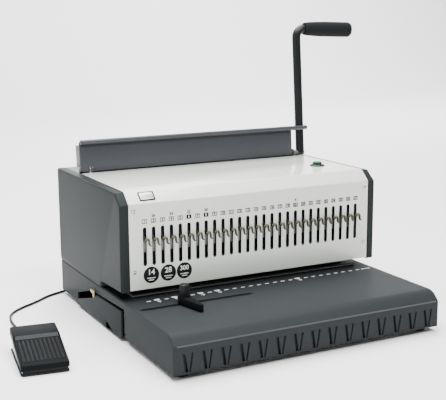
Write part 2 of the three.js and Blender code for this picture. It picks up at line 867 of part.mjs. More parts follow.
function frame(side) {
  const span = spanOn(side, frameInner, frameOuter);
  const bottom = guideTop + frameStackClear;
  const pinSpan = bellTipZ - bellHeight + framePinSpare;
  const frameTop = coverTop - frameTopClear - coverSheet;
  const rail = frameRailFront;
  const rearEdge = rearCoverRear - frameRearClear;
  const plate = plateX([
    [stackRear + fit, deck],
    [rearEdge, deck],
    [rearEdge, frameTop],
    [chamferDepth, frameTop],
    [rail, railTop],
    [rail, bellHeight + pinSpan + rail],
    [framePinClear, bellHeight + pinSpan],
    [framePinClear, bellHeight - pinSpan],
    [rail, bellHeight - pinSpan - rail],
    [rail, bottom],
    [stackRear + fit, bottom],
  ], span);
  const railSpan = spanOn(side, frameInner - slideLugThickness, frameInner + frameSheet / 2);
  const channel = cut(
    block(railSpan, [hookPlateFront - fit, slideRear + slideSlotFront], [bottom, railTop]),
    block(spanOn(side, frameInner - slideLugThickness - overrun, slideEnd + fit),
      [slideFront - fit, slideRear + fit], [bottom - overrun, railTop + overrun]),
  );
  const lug = join(
    block(span, [leverY - lugRadius, leverY + lugRadius], [frameTop - overrun, leverZ]),
    rodX(lugRadius, span, leverY, leverZ));
  const through = spanOn(side, frameInner - overrun, frameOuter + overrun);
  const stud = rodX(bellStudRadius, spanOn(side, frameInner, linkInner - fit), bellSetback, bellHeight);
  return join(cut(join(plate, channel, lug),
    rodX(leverShaftRadius + fit, through, leverY, leverZ),
    rodX(camShaftRadius + fit, through, punchSetback, camShaftHeight)), stud);
}

for (const [name, side] of bothSides) {
  place(machine, `${name}_frame`, frame(side), 'zincSheet');
}

// Die plate with the stop behind the paper, and punch guide

function holeTools(widthClear, z) {
  const halfX = pinWidth / 2 + widthClear;
  const halfY = pinThickness / 2 + widthClear;
  return hookPlaces.map((x) => block([x - halfX, x + halfX], [punchSetback - halfY, punchSetback + halfY], z));
}

const stackHalf = frameInner - fit;
place(machine, 'die_plate', cut(
  join(
    block([-rowHalf - dieMargin, rowHalf + dieMargin], [dieFront, stackRear], [deck, dieTop]),
    block([-stackHalf, stackHalf], [stopSetback, stackRear], [deck, guideBottom])),
  ...holeTools(fit, [deck - overrun, dieTop + overrun]),
), 'darkSteel');
place(machine, 'punch_guide', cut(
  block([-stackHalf, stackHalf], [guideFront, stackRear], [guideBottom, guideTop]),
  ...holeTools(fit, [guideBottom - overrun, guideTop + overrun]),
), 'darkSteel');

// Punches, their bar and the yokes round the cams

place(machine, 'punch_pins', join(
  block([-rowHalf - pinWidth / 2, rowHalf + pinWidth / 2],
    [punchSetback - pinThickness / 2, punchSetback + pinThickness / 2],
    [stripBottom, barBottom]),
  ...holeTools(0, [pinTip, stripBottom + overrun]),
), 'brightSteel');

function yoke(side) {
  const span = [side * camPlace - yokeWidth / 2, side * camPlace + yokeWidth / 2];
  const half = camLargeRadius + yokeClear;
  const inner = [camShaftHeight - camSmallRadius - yokeClear, camShaftHeight + camLargeRadius + yokeClear];
  return join(
    cut(
      block(span, [punchSetback - half - yokeWall, punchSetback + half + yokeWall],
        [inner[0] - yokeSill, inner[1] + yokeSill]),
      block([span[0] - overrun, span[1] + overrun], [punchSetback - half, punchSetback + half], inner)),
    block(span, [punchSetback - punchBarDepth / 2, punchSetback + punchBarDepth / 2],
      [barTop - overrun, inner[0] - yokeSill / 2]));
}

place(machine, 'punch_bar', join(
  block([-frameInner + punchBarEndClear, frameInner - punchBarEndClear],
    [punchSetback - punchBarDepth / 2, punchSetback + punchBarDepth / 2],
    [barBottom, barTop]),
  yoke(-1), yoke(1),
), 'darkSteel');

// Cam shaft, cams, gears and gear motor

const camShaftEnd = frameOuter + overrun / 2;
place(machine, 'cam_shaft', rodX(camShaftRadius, [-camShaftEnd, camShaftEnd], punchSetback, camShaftHeight),
  'brightSteel');

// The radius grows evenly from straight down to straight up, on both sides
const camOutline = Array.from({ length: camSides }, (_, index) => {
  const angle = (index / camSides) * 2 * Math.PI;
  const fromDown = Math.min(angle, 2 * Math.PI - angle);
  const radius = camSmallRadius + punchStroke * fromDown / Math.PI;
  return [radius * Math.sin(angle), -radius * Math.cos(angle)];
});
for (const [name, side] of bothSides) {
  const cam = cut(
    plateX(camOutline, [-camWidth / 2, camWidth / 2]),
    rodX(camShaftRadius + fit, [-camWidth, camWidth], 0, 0));
  place(machine, `cam_${name}`, cam, 'darkSteel', [side * camPlace, punchSetback, camShaftHeight]);
}

function gearOutline(teeth, phase) {
  const pitchRadius = gearModule * teeth / 2;
  const baseRadius = pitchRadius * Math.cos(pressureAngle);
  const tip = pitchRadius + gearModule * addendumShare;
  const root = pitchRadius - gearModule * dedendumShare;
  const involute = (radius) => {
    const ratio = Math.min(1, baseRadius / Math.max(radius, baseRadius));
    const pressure = Math.acos(ratio);
    return Math.tan(pressure) - pressure;
  };
  const halfTooth = toothShare * Math.PI / teeth;
  const flank = baseRadius - root > fit * 2 ? [root, baseRadius, pitchRadius, tip] : [root, pitchRadius, tip];
  const points = [];
  for (let index = 0; index < teeth; index += 1) {
    const centre = (index + phase) * 2 * Math.PI / teeth;
    const offset = (radius) => halfTooth + involute(pitchRadius) - involute(radius);
    for (const radius of flank) {
      const angle = centre - offset(radius);
      points.push([radius * Math.cos(angle), radius * Math.sin(angle)]);
    }
    for (const radius of flank.slice().reverse()) {
      const angle = centre + offset(radius);
      points.push([radius * Math.cos(angle), radius * Math.sin(angle)]);
    }
  }
  return points;
}

const pinionY = punchSetback + gearCentres;
place(machine, 'drive_gear', cut(
  plateX(gearOutline(driveTeeth, 0), [0, gearWidth]),
  rodX(camShaftRadius + fit, [-overrun, gearWidth + overrun], 0, 0),
), 'blackPlastic', [gearLeft, punchSetback, camShaftHeight]);
place(machine, 'motor_pinion', join(
  plateX(gearOutline(pinionTeeth, 0.5), [0, gearWidth]),
  rodX(pinionShaftRadius, [-gearboxShaftGap + fit, gearWidth / 2], 0, 0, smallSides),
), 'brass', [gearLeft, pinionY, camShaftHeight]);

const gearboxRear = gearboxFront + gearboxDepth;
place(machine, 'gearbox', block([gearboxLeft, gearboxRight], [gearboxFront, gearboxRear],
  [camShaftHeight - gearboxHeight / 2, camShaftHeight + gearboxHeight / 2]), 'darkSteel');
place(machine, 'motor', rodX(motorRadius, [gearboxLeft - fit - motorLength, gearboxLeft - fit],
  motorSetback, camShaftHeight, motorSides), 'blackPaint');
place(machine, 'motor_bracket', block([gearboxLeft, frameInner - fit],
  [gearboxRear + fit, gearboxRear + fit + bracketSheet],
  [camShaftHeight - bracketHeight / 2, camShaftHeight + bracketHeight / 2]), 'zincSheet');

// Lever shaft with its cranks, links and bell cranks

place(machine, 'lever_shaft', rodX(leverShaftRadius, [-flapLeft, leverPlace + leverTubeRadius], leverY, leverZ),
  'darkSteel');

// A flat arm of half width w from one centre to another, rounded at both ends
function arm(span, from, to, half, fromRadius = half) {
  const [y0, z0] = from;
  const [y1, z1] = to;
  const along = new THREE.Vector2(y1 - y0, z1 - z0).normalize();
  const [ny, nz] = [-along.y * half, along.x * half];
  return join(
    plateX([[y0 - ny, z0 - nz], [y1 - ny, z1 - nz], [y1 + ny, z1 + nz], [y0 + ny, z0 + nz]].reverse(), span),
    rodX(fromRadius, span, y0, z0),
    rodX(half, span, y1, z1));
}

const crankDrop = [-crankReach * Math.sin(linkSwing), -crankReach * Math.cos(linkSwing)];
const crankPin = [leverY + crankDrop[0], leverZ + crankDrop[1]];
const bellPin = [bellSetback + crankDrop[0], bellHeight + crankDrop[1]];
const pinSpanTo = linkOuter + crankPinHead;

for (const [name, side] of bothSides) {
  const plate = spanOn(side, crankInner, crankOuter);
  const wide = spanOn(side, crankInner - overrun, crankOuter + overrun);
  const pinAcross = spanOn(side, crankInner + linkSheet / 2, pinSpanTo);
  place(machine, `crank_${name}`, join(
    cut(arm(plate, [leverY, leverZ], crankPin, crankHalfWidth, crankHubRadius),
      rodX(leverShaftRadius + fit, wide, leverY, leverZ)),
    rodX(crankPinRadius, pinAcross, ...crankPin, smallSides),
  ), 'darkSteel');

  const linkSpan = spanOn(side, linkInner, linkOuter);
  const linkWide = spanOn(side, linkInner - overrun, linkOuter + overrun);
  place(machine, `pull_link_${name}`, cut(
    arm(linkSpan, crankPin, bellPin, linkHalfWidth),
    rodX(crankPinRadius + fit, linkWide, ...crankPin, smallSides),
    rodX(crankPinRadius + fit, linkWide, ...bellPin, smallSides),
  ), 'zincSheet');

  const tip = [bellTipY, bellTipZ];
  const tipPin = spanOn(side, slideEnd - slideLugInset - slideLugThickness, crankInner + linkSheet / 2);
  place(machine, `bell_crank_${name}`, join(
    cut(
      join(arm(plate, [bellSetback, bellHeight], tip, crankHalfWidth, bellHubRadius),
        arm(plate, [bellSetback, bellHeight], bellPin, crankHalfWidth, bellHubRadius)),
      rodX(bellStudRadius + fit, wide, bellSetback, bellHeight)),
    rodX(crankPinRadius, pinAcross, ...bellPin, smallSides),
    rodX(crankPinRadius, tipPin, ...tip, smallSides),
  ), 'darkSteel');
}

// Hook comb and the slide that carries it

function hook(x) {
  const web = plateX([
    [hookPlateFront + overrun, hookWebBottom],
    [hookPlateFront + overrun, hookWebTop],
    [-coverSheet, hookWebTop],
    [-hookReach, hookArmTop],
    [-hookReach, hookWebBottom],
  ].reverse(), [x - hookSheet / 2, x + hookSheet / 2]);
  const armRight = x + hookArmLength;
  const finger = plateY([
    [x - hookSheet / 2, hookArmTop],
    [x - hookSheet / 2, hookArmTop - hookArmHeight],
    [armRight - hookTipWidth, hookArmTop - hookArmHeight],
    [armRight - hookTipWidth, hookArmTop - hookTipDrop - hookBand],
    [armRight, hookArmTop - hookTipDrop - hookBand],
    [armRight, hookArmTop],
  ], [-hookReach, -hookReach + hookBand]);
  return join(web, finger);
}

const combHalf = slideEnd - slideLugThickness + frameClear * 2 - fit;
place(machine, 'hook_comb', join(
  block([-combHalf, combHalf], [hookPlateFront, hookPlateRear], [hookWebBottom - hookPlateDrop, hookWebTop]),
  ...hookPlaces.map(hook),
), 'goldZinc');

function slideLug(side) {
  const inner = slideEnd - slideLugInset;
  const span = spanOn(side, inner - slideLugThickness + fit, inner);
  const reach = [slideRear - overrun, slideRear + slideLugReach];
  return cut(
    block(span, reach, [bellTipZ - slideLugHeight / 2, bellTipZ + slideLugHeight / 2]),
    block(spanOn(side, inner - slideLugThickness * 2, inner + overrun),
      [slideRear + slideSlotFront, slideRear + slideSlotRear],
      [bellTipZ - slideSlotHalf, bellTipZ + slideSlotHalf]));
}

place(machine, 'opener_bar', join(
  block([-slideEnd, slideEnd], [slideFront, slideRear], [slotBottom, slideTop]),
  slideLug(-1), slideLug(1),
), 'brightSteel');

// Lever tube, grip, flap and rod, in the leaning frame of the lever

const bendStart = leverHeight - leverBend;
const gripLeft = leverPlace + gripStart;
const tubeEnd = gripLeft + gripLength - gripCapWall - fit;
const bendIn = new THREE.Vector3(leverPlace, 0, bendStart);
const bendInPull = new THREE.Vector3(leverPlace, 0, bendStart + leverBend * bendPullShare);
const bendOutPull = new THREE.Vector3(leverPlace + leverBend * (1 - bendPullShare), 0, leverHeight);
const bendOut = new THREE.Vector3(leverPlace + leverBend, 0, leverHeight);
const bend = new THREE.CubicBezierCurve3(bendIn, bendInPull, bendOutPull, bendOut);
const bore = leverTubeRadius - leverTubeWall;
const ring = new THREE.Shape().absarc(0, 0, leverTubeRadius, 0, 2 * Math.PI);
ring.holes.push(new THREE.Path().absarc(0, 0, bore, 0, 2 * Math.PI, true));
const tubeBend = new THREE.ExtrudeGeometry(ring,
  { steps: tubeBendSteps, extrudePath: bend, curveSegments: tubeSides / 2 });
const tube = join(
  cut(rodZ(leverTubeRadius, leverPlace, 0, [-leverTubeFoot, bendStart + fit], tubeSides),
    rodZ(bore, leverPlace, 0, [-leverTubeFoot - overrun, bendStart + overrun], tubeSides)),
  tubeBend,
  cut(rodX(leverTubeRadius, [leverPlace + leverBend - fit, tubeEnd], 0, leverHeight, tubeSides),
    rodX(bore, [leverPlace + leverBend - overrun, tubeEnd + overrun], 0, leverHeight, tubeSides)));
place(lever, 'lever_tube', cut(tube,
  rodX(leverShaftRadius + fit, [leverPlace - leverTubeRadius * 2, leverPlace + leverTubeRadius * 2], 0, 0),
), 'blackPaint');

const gripBore = leverTubeRadius + fit;
const gripProfile = [
  [gripBore, 0],
  [gripCollarRadius, 0],
  [gripCollarRadius, gripCollarLength],
  [gripRadius, gripLength / 2],
  [gripRadius, gripLength - gripEndRound],
  [gripRadius - gripEndRound * gripEdgeShare, gripLength - gripEndRound * gripEdgeShare],
  [gripRadius - gripEndRound, gripLength],
  [0, gripLength],
  [0, gripLength - gripCapWall],
  [gripBore, gripLength - gripCapWall],
  [gripBore, 0],
];
place(lever, 'lever_grip', lathe(gripProfile).rotateZ(-Math.PI / 2), 'rubber', [gripLeft, 0, leverHeight]);

const rodBack = -leverTubeRadius - fit;
const flapFace = rodBack + fit;
const rodY0 = rodBack - flapRodRadius;
const lugNotch = rodX(lugRadius + lugNotchClear, [-crankOuter - overrun, -frameInner + overrun], 0, 0);
place(lever, 'rear_flap', cut(join(
  block([-flapLeft, flapRight], [flapFace, flapFace + flapSheet],
    [flapSheet, flapSheet + flapHeight + flapRodRadius]),
  block([-flapLeft, -flapLeft + flapSheet], [flapFace, flapFace + flapFlange],
    [leverShaftRadius + fit * 2, flapHeight]),
), lugNotch), 'bluePaint');
const rodZ0 = flapHeight + flapSheet + flapRodRadius;
place(lever, 'flap_rod', rodX(flapRodRadius, [-flapLeft, flapRodEnd], rodY0, rodZ0, smallSides), 'bluePaint');

// Control board and transformer on the deck, inside the casing

const boardHalfX = boardLength / 2;
const boardHalfY = boardDepth / 2;
const postCorners = [[-1, -1], [1, -1], [-1, 1], [1, 1]];
place(machine, 'control_board', join(
  block([-boardHalfX, boardHalfX], [-boardHalfY, boardHalfY], [boardLift, boardLift + boardSheet]),
  block([-relayLength / 2, relayLength / 2], [-relayDepth / 2, relayDepth / 2],
    [boardLift + boardSheet / 2, boardLift + boardSheet + relayHeight]),
  ...postCorners.map(([sx, sy]) => rodZ(boardPostRadius,
    sx * (boardHalfX - boardPostInset), sy * (boardHalfY - boardPostInset),
    [0, boardLift + boardSheet / 2], tinySides)),
), 'boardGreen', [boardPlace, boardSetback, deck]);

place(machine, 'transformer', join(
  block([-transformerLength / 2, transformerLength / 2], [-transformerDepth / 2, transformerDepth / 2],
    [0, transformerHeight]),
  block([-windingLength / 2, windingLength / 2], [-windingDepth / 2, windingDepth / 2],
    [windingInset, transformerHeight - windingInset]),
), 'darkSteel', [transformerPlace, transformerSetback, deck]);

// Foot pedal: mat, pan with its pin, switch and the hinged cover

const pedalTop = [
  [pedalHalfLength, pedalHeel],
  [pedalHumpRear, pedalHump],
  [pedalHumpFront, pedalHump],
  [pedalBandFront, pedalHump - pedalBandDrop],
  [-pedalToeSetback, pedalToe],
  [-pedalHalfLength, pedalToe - pedalToeRound],
];
const lowered = (points, drop) => points.map(([y, z]) => [y, z - drop]);
const panSpan = pedalHalfWidth - pedalSkirtWall - fit;
const panFloor = pedalMatSheet + pedalSheet;
const panRear = pedalHalfLength - pedalSkirtWall - fit;
const panFront = panRear - pedalSwingClear;
const panTop = lowered(pedalTop, pedalWallDrop)
  .map(([y, z]) => [THREE.MathUtils.clamp(y, -panFront, panRear), z]);

place(pedal, 'pedal_mat', block([-pedalHalfWidth, pedalHalfWidth], [-pedalHalfLength, pedalHalfLength],
  [0, pedalMatSheet]), 'rubber');

const panOutline = [[-panFront, pedalMatSheet], [panRear, pedalMatSheet], ...panTop];
place(pedal, 'pedal_base', join(
  cut(
    plateX(panOutline, [-panSpan, panSpan]),
    block([-panSpan + pedalSheet, panSpan - pedalSheet], [-panFront + pedalSheet, panRear - pedalSheet],
      [panFloor, pedalHump + overrun]),
    rodY(glandTip + fit, pedalGlandPlace, [panRear - pedalSheet - overrun, pedalHalfLength],
      pedalGlandHeight, smallSides)),
  rodX(pedalPinRadius, [-panSpan, panSpan], pedalPinSetback, pedalPinHeight, smallSides),
), 'zincSheet');

const coverFront = [-pedalHalfLength, pedalFrontFoot];
const coverFrontIn = [-pedalHalfLength + pedalSkirtWall, pedalFrontFoot];
const skirtFront = [-pedalHalfLength + pedalSkirtWall, pedalToe - pedalSkirt];
const pedalOuter = [
  coverFront, coverFrontIn, skirtFront,
  ...lowered(pedalTop, pedalSkirt).slice(0, -1).reverse(),
  ...pedalTop,
];
const pedalInside = pedalHalfLength - pedalSkirtWall;
const pedalInnerTop = lowered(pedalTop, pedalTopWall)
  .map(([y, z]) => [THREE.MathUtils.clamp(y, -pedalInside, pedalInside), z]);
const pedalInner = [[-pedalInside, -overrun], [pedalInside, -overrun], ...pedalInnerTop];
const grooveTools = Array.from({ length: pedalGrooves }, (_, index) => {
  const x = (index - (pedalGrooves - 1) / 2) * pedalGroovePitch;
  const line = [[-pedalToeSetback, pedalToe], [pedalBandFront, pedalHump - pedalBandDrop]];
  const floor = lowered(line, pedalGrooveDepth);
  const roof = lowered(line, -overrun);
  return plateX([...floor, ...roof.reverse()], [x - pedalGrooveWidth / 2, x + pedalGrooveWidth / 2]);
});
const lugSpans = bothSides.map(([, side]) =>
  spanOn(side, panSpan - pedalSheet - fit - pedalLugWidth, panSpan - pedalSheet - fit));
const pedalLugs = lugSpans.map((span) => join(
  rodX(pedalLugRadius, span, pedalPinSetback, pedalPinHeight, smallSides),
  block(span, [pedalPinSetback - pedalLugInset, pedalPinSetback + pedalLugInset],
    [pedalPinHeight, pedalHump - pedalTopWall / 2])));
place(pedal, 'pedal_cover', cut(
  join(
    cut(plateX(pedalOuter, [-pedalHalfWidth, pedalHalfWidth]),
      plateX(pedalInner, [-pedalHalfWidth + pedalSkirtWall, pedalHalfWidth - pedalSkirtWall])),
    ...pedalLugs),
  rodX(pedalPinRadius + fit, [-pedalHalfWidth + pedalSkirtWall, pedalHalfWidth - pedalSkirtWall],
    pedalPinSetback, pedalPinHeight, smallSides),
  ...grooveTools,
), 'blackPlastic');

place(pedal, 'pedal_switch', join(
  block([-switchWidth / 2, switchWidth / 2], [switchPlace - switchLength / 2, switchPlace + switchLength / 2],
    [panFloor + fit, panFloor + fit + switchHeight]),
  rodZ(plungerRadius, 0, switchPlace,
    [panFloor + fit + switchHeight / 2, panFloor + fit + switchHeight + plungerHeight], tinySides),
), 'blackPlastic');

const pedalGland = join(
  rodY(glandTip, 0, [-pedalSheet - pedalSkirtWall - overrun, pedalGlandLength], 0, smallSides),
  rodY(pedalGlandRadius, 0, [fit, pedalGlandLength], 0, smallSides));
place(pedal, 'pedal_gland', pedalGland, 'rubber', [pedalGlandPlace, pedalHalfLength, pedalGlandHeight]);

// Gland in the rear of the base

const glandProfile = [
  [0, -baseWall - glandFlange],
  [glandNeck, -baseWall - glandFlange],
  [glandNeck, fit],
  [glandRadius, fit],
  [glandRadius, glandFlange],
  [glandNeck, glandFlange * 2],
  [glandTip, glandLength],
  [0, glandLength],
];
place(machine, 'cord_gland', lathe(glandProfile, smallSides), 'rubber', [glandPlace, baseRear, glandHeight]);

// Lead: out of the gland, round the coil behind the machine, and along the floor to the pedal

const cordZ = cordRadius + cordLift;
const coilTotal = coilTurns * 2 * Math.PI + coilOverturn;

// The spiral runs in on the floor, climbs in half a turn and runs out on top
function coilPoint(turn) {
  const half = coilTotal / 2;
  const climb = THREE.MathUtils.smoothstep(turn, half - Math.PI / 2, half + Math.PI / 2);
  const inward = Math.max(0, Math.abs(turn - half) - Math.PI / 2) / (half - Math.PI / 2);
  const radius = coilInnerRadius + (coilOuterRadius - coilInnerRadius) * inward;
  const angle = coilStart + turn;
  return new THREE.Vector3(
    coilCentre[0] + radius * Math.cos(angle),
    coilCentre[1] + radius * Math.sin(angle),
    cordZ + coilLayerRise * climb);
}

const coilSteps = Math.round(coilTotal / (2 * Math.PI) * coilStepsPerTurn);
const coilPoints = Array.from({ length: coilSteps + 1 },
  (_, index) => coilPoint(coilTotal * index / coilSteps));
const heading = (from, to) => {
  const step = to.clone().sub(from);
  step.z = 0;
  return step.normalize();
};
const coilInward = heading(coilPoints[0], coilPoints[1]);
const coilOutward = heading(coilPoints[coilSteps - 1], coilPoints[coilSteps]);
const coilEntry = coilPoints[0].clone().addScaledVector(coilInward, -cordRadius * 2);
const coilExit = coilPoints[coilSteps].clone().addScaledVector(coilOutward, cordRadius * 2);
const coilPath = [coilEntry, ...coilPoints, coilExit];

function coilGap() {
  const count = coilSteps * gapFineness;
  const fine = Array.from({ length: count + 1 }, (_, index) => coilPoint(coilTotal * index / count));
  let least = Infinity;
  for (let i = 0; i < fine.length; i += 1) {
    for (let j = i + coilStepsPerTurn * 2; j < fine.length; j += 1) {
      least = Math.min(least, fine[i].distanceTo(fine[j]));
    }
  }
  return least - cordRadius * 2;
}

console.log(`least gap of the coil to itself ${coilGap().toFixed(3)} mm`);

// A tube of flat-sided rings along the points, square to the path and upright
function ringTube(points, radius, sides) {
  const count = points.length;
  const rings = points.map((point, index) => {
    const before = points[Math.max(0, index - 1)];
    const after = points[Math.min(count - 1, index + 1)];
    const ahead = after.clone().sub(before).normalize();
    const across = new THREE.Vector3(0, 0, 1).cross(ahead).normalize();
    const above = ahead.clone().cross(across);
    return Array.from({ length: sides }, (_, corner) => {
      const angle = (corner / sides) * 2 * Math.PI;
      return point.clone()
        .addScaledVector(across, radius * Math.cos(angle))
        .addScaledVector(above, radius * Math.sin(angle));
    });
  });
  const faces = [];
  for (let index = 0; index < count - 1; index += 1) {
    for (let corner = 0; corner < sides; corner += 1) {
      const next = (corner + 1) % sides;
      const [a, b] = [rings[index][corner], rings[index][next]];
      const [c, d] = [rings[index + 1][next], rings[index + 1][corner]];
      faces.push(a, b, c, a, c, d);
    }
  }
  for (let corner = 1; corner < sides - 1; corner += 1) {
    faces.push(rings[0][0], rings[0][corner + 1], rings[0][corner]);
    faces.push(rings[count - 1][0], rings[count - 1][corner], rings[count - 1][corner + 1]);
  }
  const geometry = new THREE.BufferGeometry().setFromPoints(faces);
  geometry.computeVertexNormals();
  return mergeVertices(geometry);
}

const lying = (points) => points.map(([x, y, z]) => new THREE.Vector3(x, y, z));
const cordShape = shapeOf(Array.from({ length: cordSides }, (_, corner) => {
  const angle = (corner / cordSides) * 2 * Math.PI;
  return [cordRadius * Math.cos(angle), cordRadius * Math.sin(angle)];
}));

function cordAlong(points, steps) {
  const path = new THREE.CatmullRomCurve3(points, false, 'centripetal');
  console.log(`lead stretch ${path.getLength().toFixed(1)} mm`);
  return new THREE.ExtrudeGeometry(cordShape, { steps, extrudePath: path });
}

const glandEnd = baseRear + glandLength + fit;
const machineRun = [
  ...lying([
    [glandPlace, glandEnd, glandHeight],
    [glandPlace, glandEnd + 6, glandHeight],
    [glandPlace - 0.5, 334, 20.6],
    [-72, 345, 13.6],
    [-75.5, 356, 6.4],
    [-82, 367, 2.9],
    [-92, 377, cordZ + 0.1],
    [-106, 383.5, cordZ],
    [-120, 385, cordZ],
  ]),
  coilEntry.clone().addScaledVector(coilInward, -coilLeadOut),
  coilEntry.clone().addScaledVector(coilInward, -fit),
];

const pedalPoint = (x, y, z) => {
  pedal.updateMatrix();
  return new THREE.Vector3(x, y, z).applyMatrix4(pedal.matrix);
};
const pedalCordY = pedalHalfLength + pedalGlandLength + fit;
const pedalRun = [
  coilExit.clone().addScaledVector(coilOutward, fit),
  coilExit.clone().addScaledVector(coilOutward, coilLeadOut),
  ...lying([
    [-177, 341, 4.6],
    [-185, 330.5, 2.6],
    [-192, 322, cordZ + 0.05],
    [-200, 313, cordZ],
    [-216, 300, cordZ],
    [-246, 285, cordZ],
    [-281, 257, cordZ],
    [-313, 234, cordZ],
    [-333, 211, cordZ],
    [-342, 180, cordZ],
    [-344, 150, cordZ],
    [-342.5, 122, cordZ],
    [-341, 108, cordZ + 0.1],
    [-339.5, 94, 3.6],
  ]),
  pedalPoint(pedalGlandPlace, pedalCordY + pedalCordLevel * 3, 6.4),
  pedalPoint(pedalGlandPlace, pedalCordY + pedalCordLevel, pedalGlandHeight),
  pedalPoint(pedalGlandPlace, pedalCordY, pedalGlandHeight),
];

const coilLength = coilPath.slice(1).reduce((sum, point, index) => sum + point.distanceTo(coilPath[index]), 0);
console.log(`coil ${coilLength.toFixed(1)} mm`);
place(machine, 'cord_run_machine', cordAlong(machineRun, machineRunSteps), 'blackPlastic');
place(machine, 'cord_coil', ringTube(coilPath, cordRadius, coilSides), 'blackPlastic');
place(machine, 'cord_run_pedal', cordAlong(pedalRun, pedalRunSteps), 'blackPlastic');

// The origin is the middle of the footprint of everything but the lead, on the surface
const leadNames = ['cord_run_machine', 'cord_coil', 'cord_run_pedal', 'cord_gland'];
const extent = new THREE.Box3();
binder.updateMatrixWorld(true);
binder.traverse((item) => {
  if (item.isMesh && !leadNames.includes(item.name)) {
    extent.expandByObject(item, true);
  }
});
const middle = extent.getCenter(new THREE.Vector3());
machine.position.set(-middle.x, -middle.y, -extent.min.z);
console.log(`machine origin ${machine.position.toArray().map((value) => value.toFixed(4)).join(' ')}`);

export default binder;
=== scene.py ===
import json
import math

import bmesh
import bpy
from mathutils import Matrix, Vector


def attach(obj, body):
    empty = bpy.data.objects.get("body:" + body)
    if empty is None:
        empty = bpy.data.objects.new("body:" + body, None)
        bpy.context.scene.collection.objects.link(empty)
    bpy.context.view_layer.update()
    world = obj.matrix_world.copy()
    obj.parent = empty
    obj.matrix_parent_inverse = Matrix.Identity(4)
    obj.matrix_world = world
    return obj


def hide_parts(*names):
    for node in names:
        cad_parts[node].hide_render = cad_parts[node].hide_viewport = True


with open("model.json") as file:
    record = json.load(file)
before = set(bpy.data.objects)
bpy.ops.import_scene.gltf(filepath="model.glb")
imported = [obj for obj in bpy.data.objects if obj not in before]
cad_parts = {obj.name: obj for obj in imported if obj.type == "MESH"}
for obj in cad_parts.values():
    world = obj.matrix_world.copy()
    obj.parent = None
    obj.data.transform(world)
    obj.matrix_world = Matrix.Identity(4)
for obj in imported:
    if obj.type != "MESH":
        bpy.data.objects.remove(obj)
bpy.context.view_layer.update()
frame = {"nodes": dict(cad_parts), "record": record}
nodes = frame["nodes"]
print("stage: frame loaded,", len(nodes), "nodes")

# The machine is drawn in millimetres about the foot of its front panel
machineFrame = {"x": 32.5215, "y": -61.5, "scale": 0.001}
toPart = (Matrix.Scale(machineFrame["scale"], 4)
          @ Matrix.Translation((machineFrame["x"], machineFrame["y"], 0)))
leverFrame = {"y": 209, "z": 228, "lean": 4.58}
toLever = (Matrix.Translation((0, leverFrame["y"], leverFrame["z"]))
           @ Matrix.Rotation(math.radians(-leverFrame["lean"]), 4, "X"))
pedalFrame = {"x": -353, "y": -8, "turn": -8}
toPedal = (Matrix.Translation((pedalFrame["x"], pedalFrame["y"], 0))
           @ Matrix.Rotation(math.radians(pedalFrame["turn"]), 4, "Z"))
alongX = Matrix.Rotation(math.radians(90), 4, "Y")  # turns +Z to +X
alongY = Matrix.Rotation(math.radians(-90), 4, "X")  # turns +Z to +Y
towardsFront = Matrix.Rotation(math.radians(90), 4, "X")  # turns +Z to -Y and keeps +X


# Camera: fitted to the straight edges of the casing in the photograph

cameraSize = {
    "focal": 947.887, "width": 446, "height": 400, "sensor": 36,
    "yaw": 27.241, "pitch": 10.964, "roll": -0.339,
    "place": (-701.5, -1248.0, 473.4), "centre": (-1.177, -0.912),
}


def makeCamera(size):
    yaw, pitch, roll = (math.radians(size[key]) for key in ("yaw", "pitch", "roll"))
    ahead = Vector((math.sin(yaw) * math.cos(pitch), math.cos(yaw) * math.cos(pitch), -math.sin(pitch)))
    level = ahead.cross(Vector((0, 0, 1))).normalized()
    above = level.cross(ahead)
    right = level * math.cos(roll) + above * math.sin(roll)
    up = above * math.cos(roll) - level * math.sin(roll)
    data = bpy.data.cameras.new("camera")
    data.sensor_width = size["sensor"]
    data.lens = size["focal"] / size["width"] * size["sensor"]
    data.shift_x = -size["centre"][0] / size["width"]
    data.shift_y = size["centre"][1] / size["width"]
    camera = bpy.data.objects.new("camera", data)
    bpy.context.scene.collection.objects.link(camera)
    turn = Matrix((right, up, -ahead)).transposed().to_4x4()
    camera.matrix_world = Matrix.Translation(toPart @ Vector(size["place"])) @ turn
    bpy.context.scene.camera = camera


makeCamera(cameraSize)
print("stage: camera")


# Shader expressions: a wrapped socket that adds Math nodes as it is used

class Flow:
    def __init__(self, tree, socket=None):
        self.tree = tree
        self.socket = socket

    def node(self, kind, settings=None, values=None, output=0):
        made = self.tree.nodes.new("ShaderNode" + kind)
        for key, value in (settings or {}).items():
            setattr(made, key, value)
        for key, value in (values or {}).items():
            if isinstance(value, Flow):
                self.tree.links.new(value.socket, made.inputs[key])
            else:
                made.inputs[key].default_value = value
        return Flow(self.tree, made.outputs[output])

    def sum(self, operation, first, second):
        return self.node("Math", {"operation": operation}, {0: first, 1: second})

    def __add__(self, other):
        return self.sum("ADD", self, other)

    def __radd__(self, other):
        return self.sum("ADD", other, self)

    def __sub__(self, other):
        return self.sum("SUBTRACT", self, other)

    def __rsub__(self, other):
        return self.sum("SUBTRACT", other, self)

    def __mul__(self, other):
        return self.sum("MULTIPLY", self, other)

    def __rmul__(self, other):
        return self.sum("MULTIPLY", other, self)


def mixed(flow, share, first, second):
    return flow.node("Mix", {"data_type": "RGBA"}, {0: share, 6: first, 7: second}, 2)


def shade(colour, factor):
    return (*(min(1, channel * factor) for channel in colour), 1)


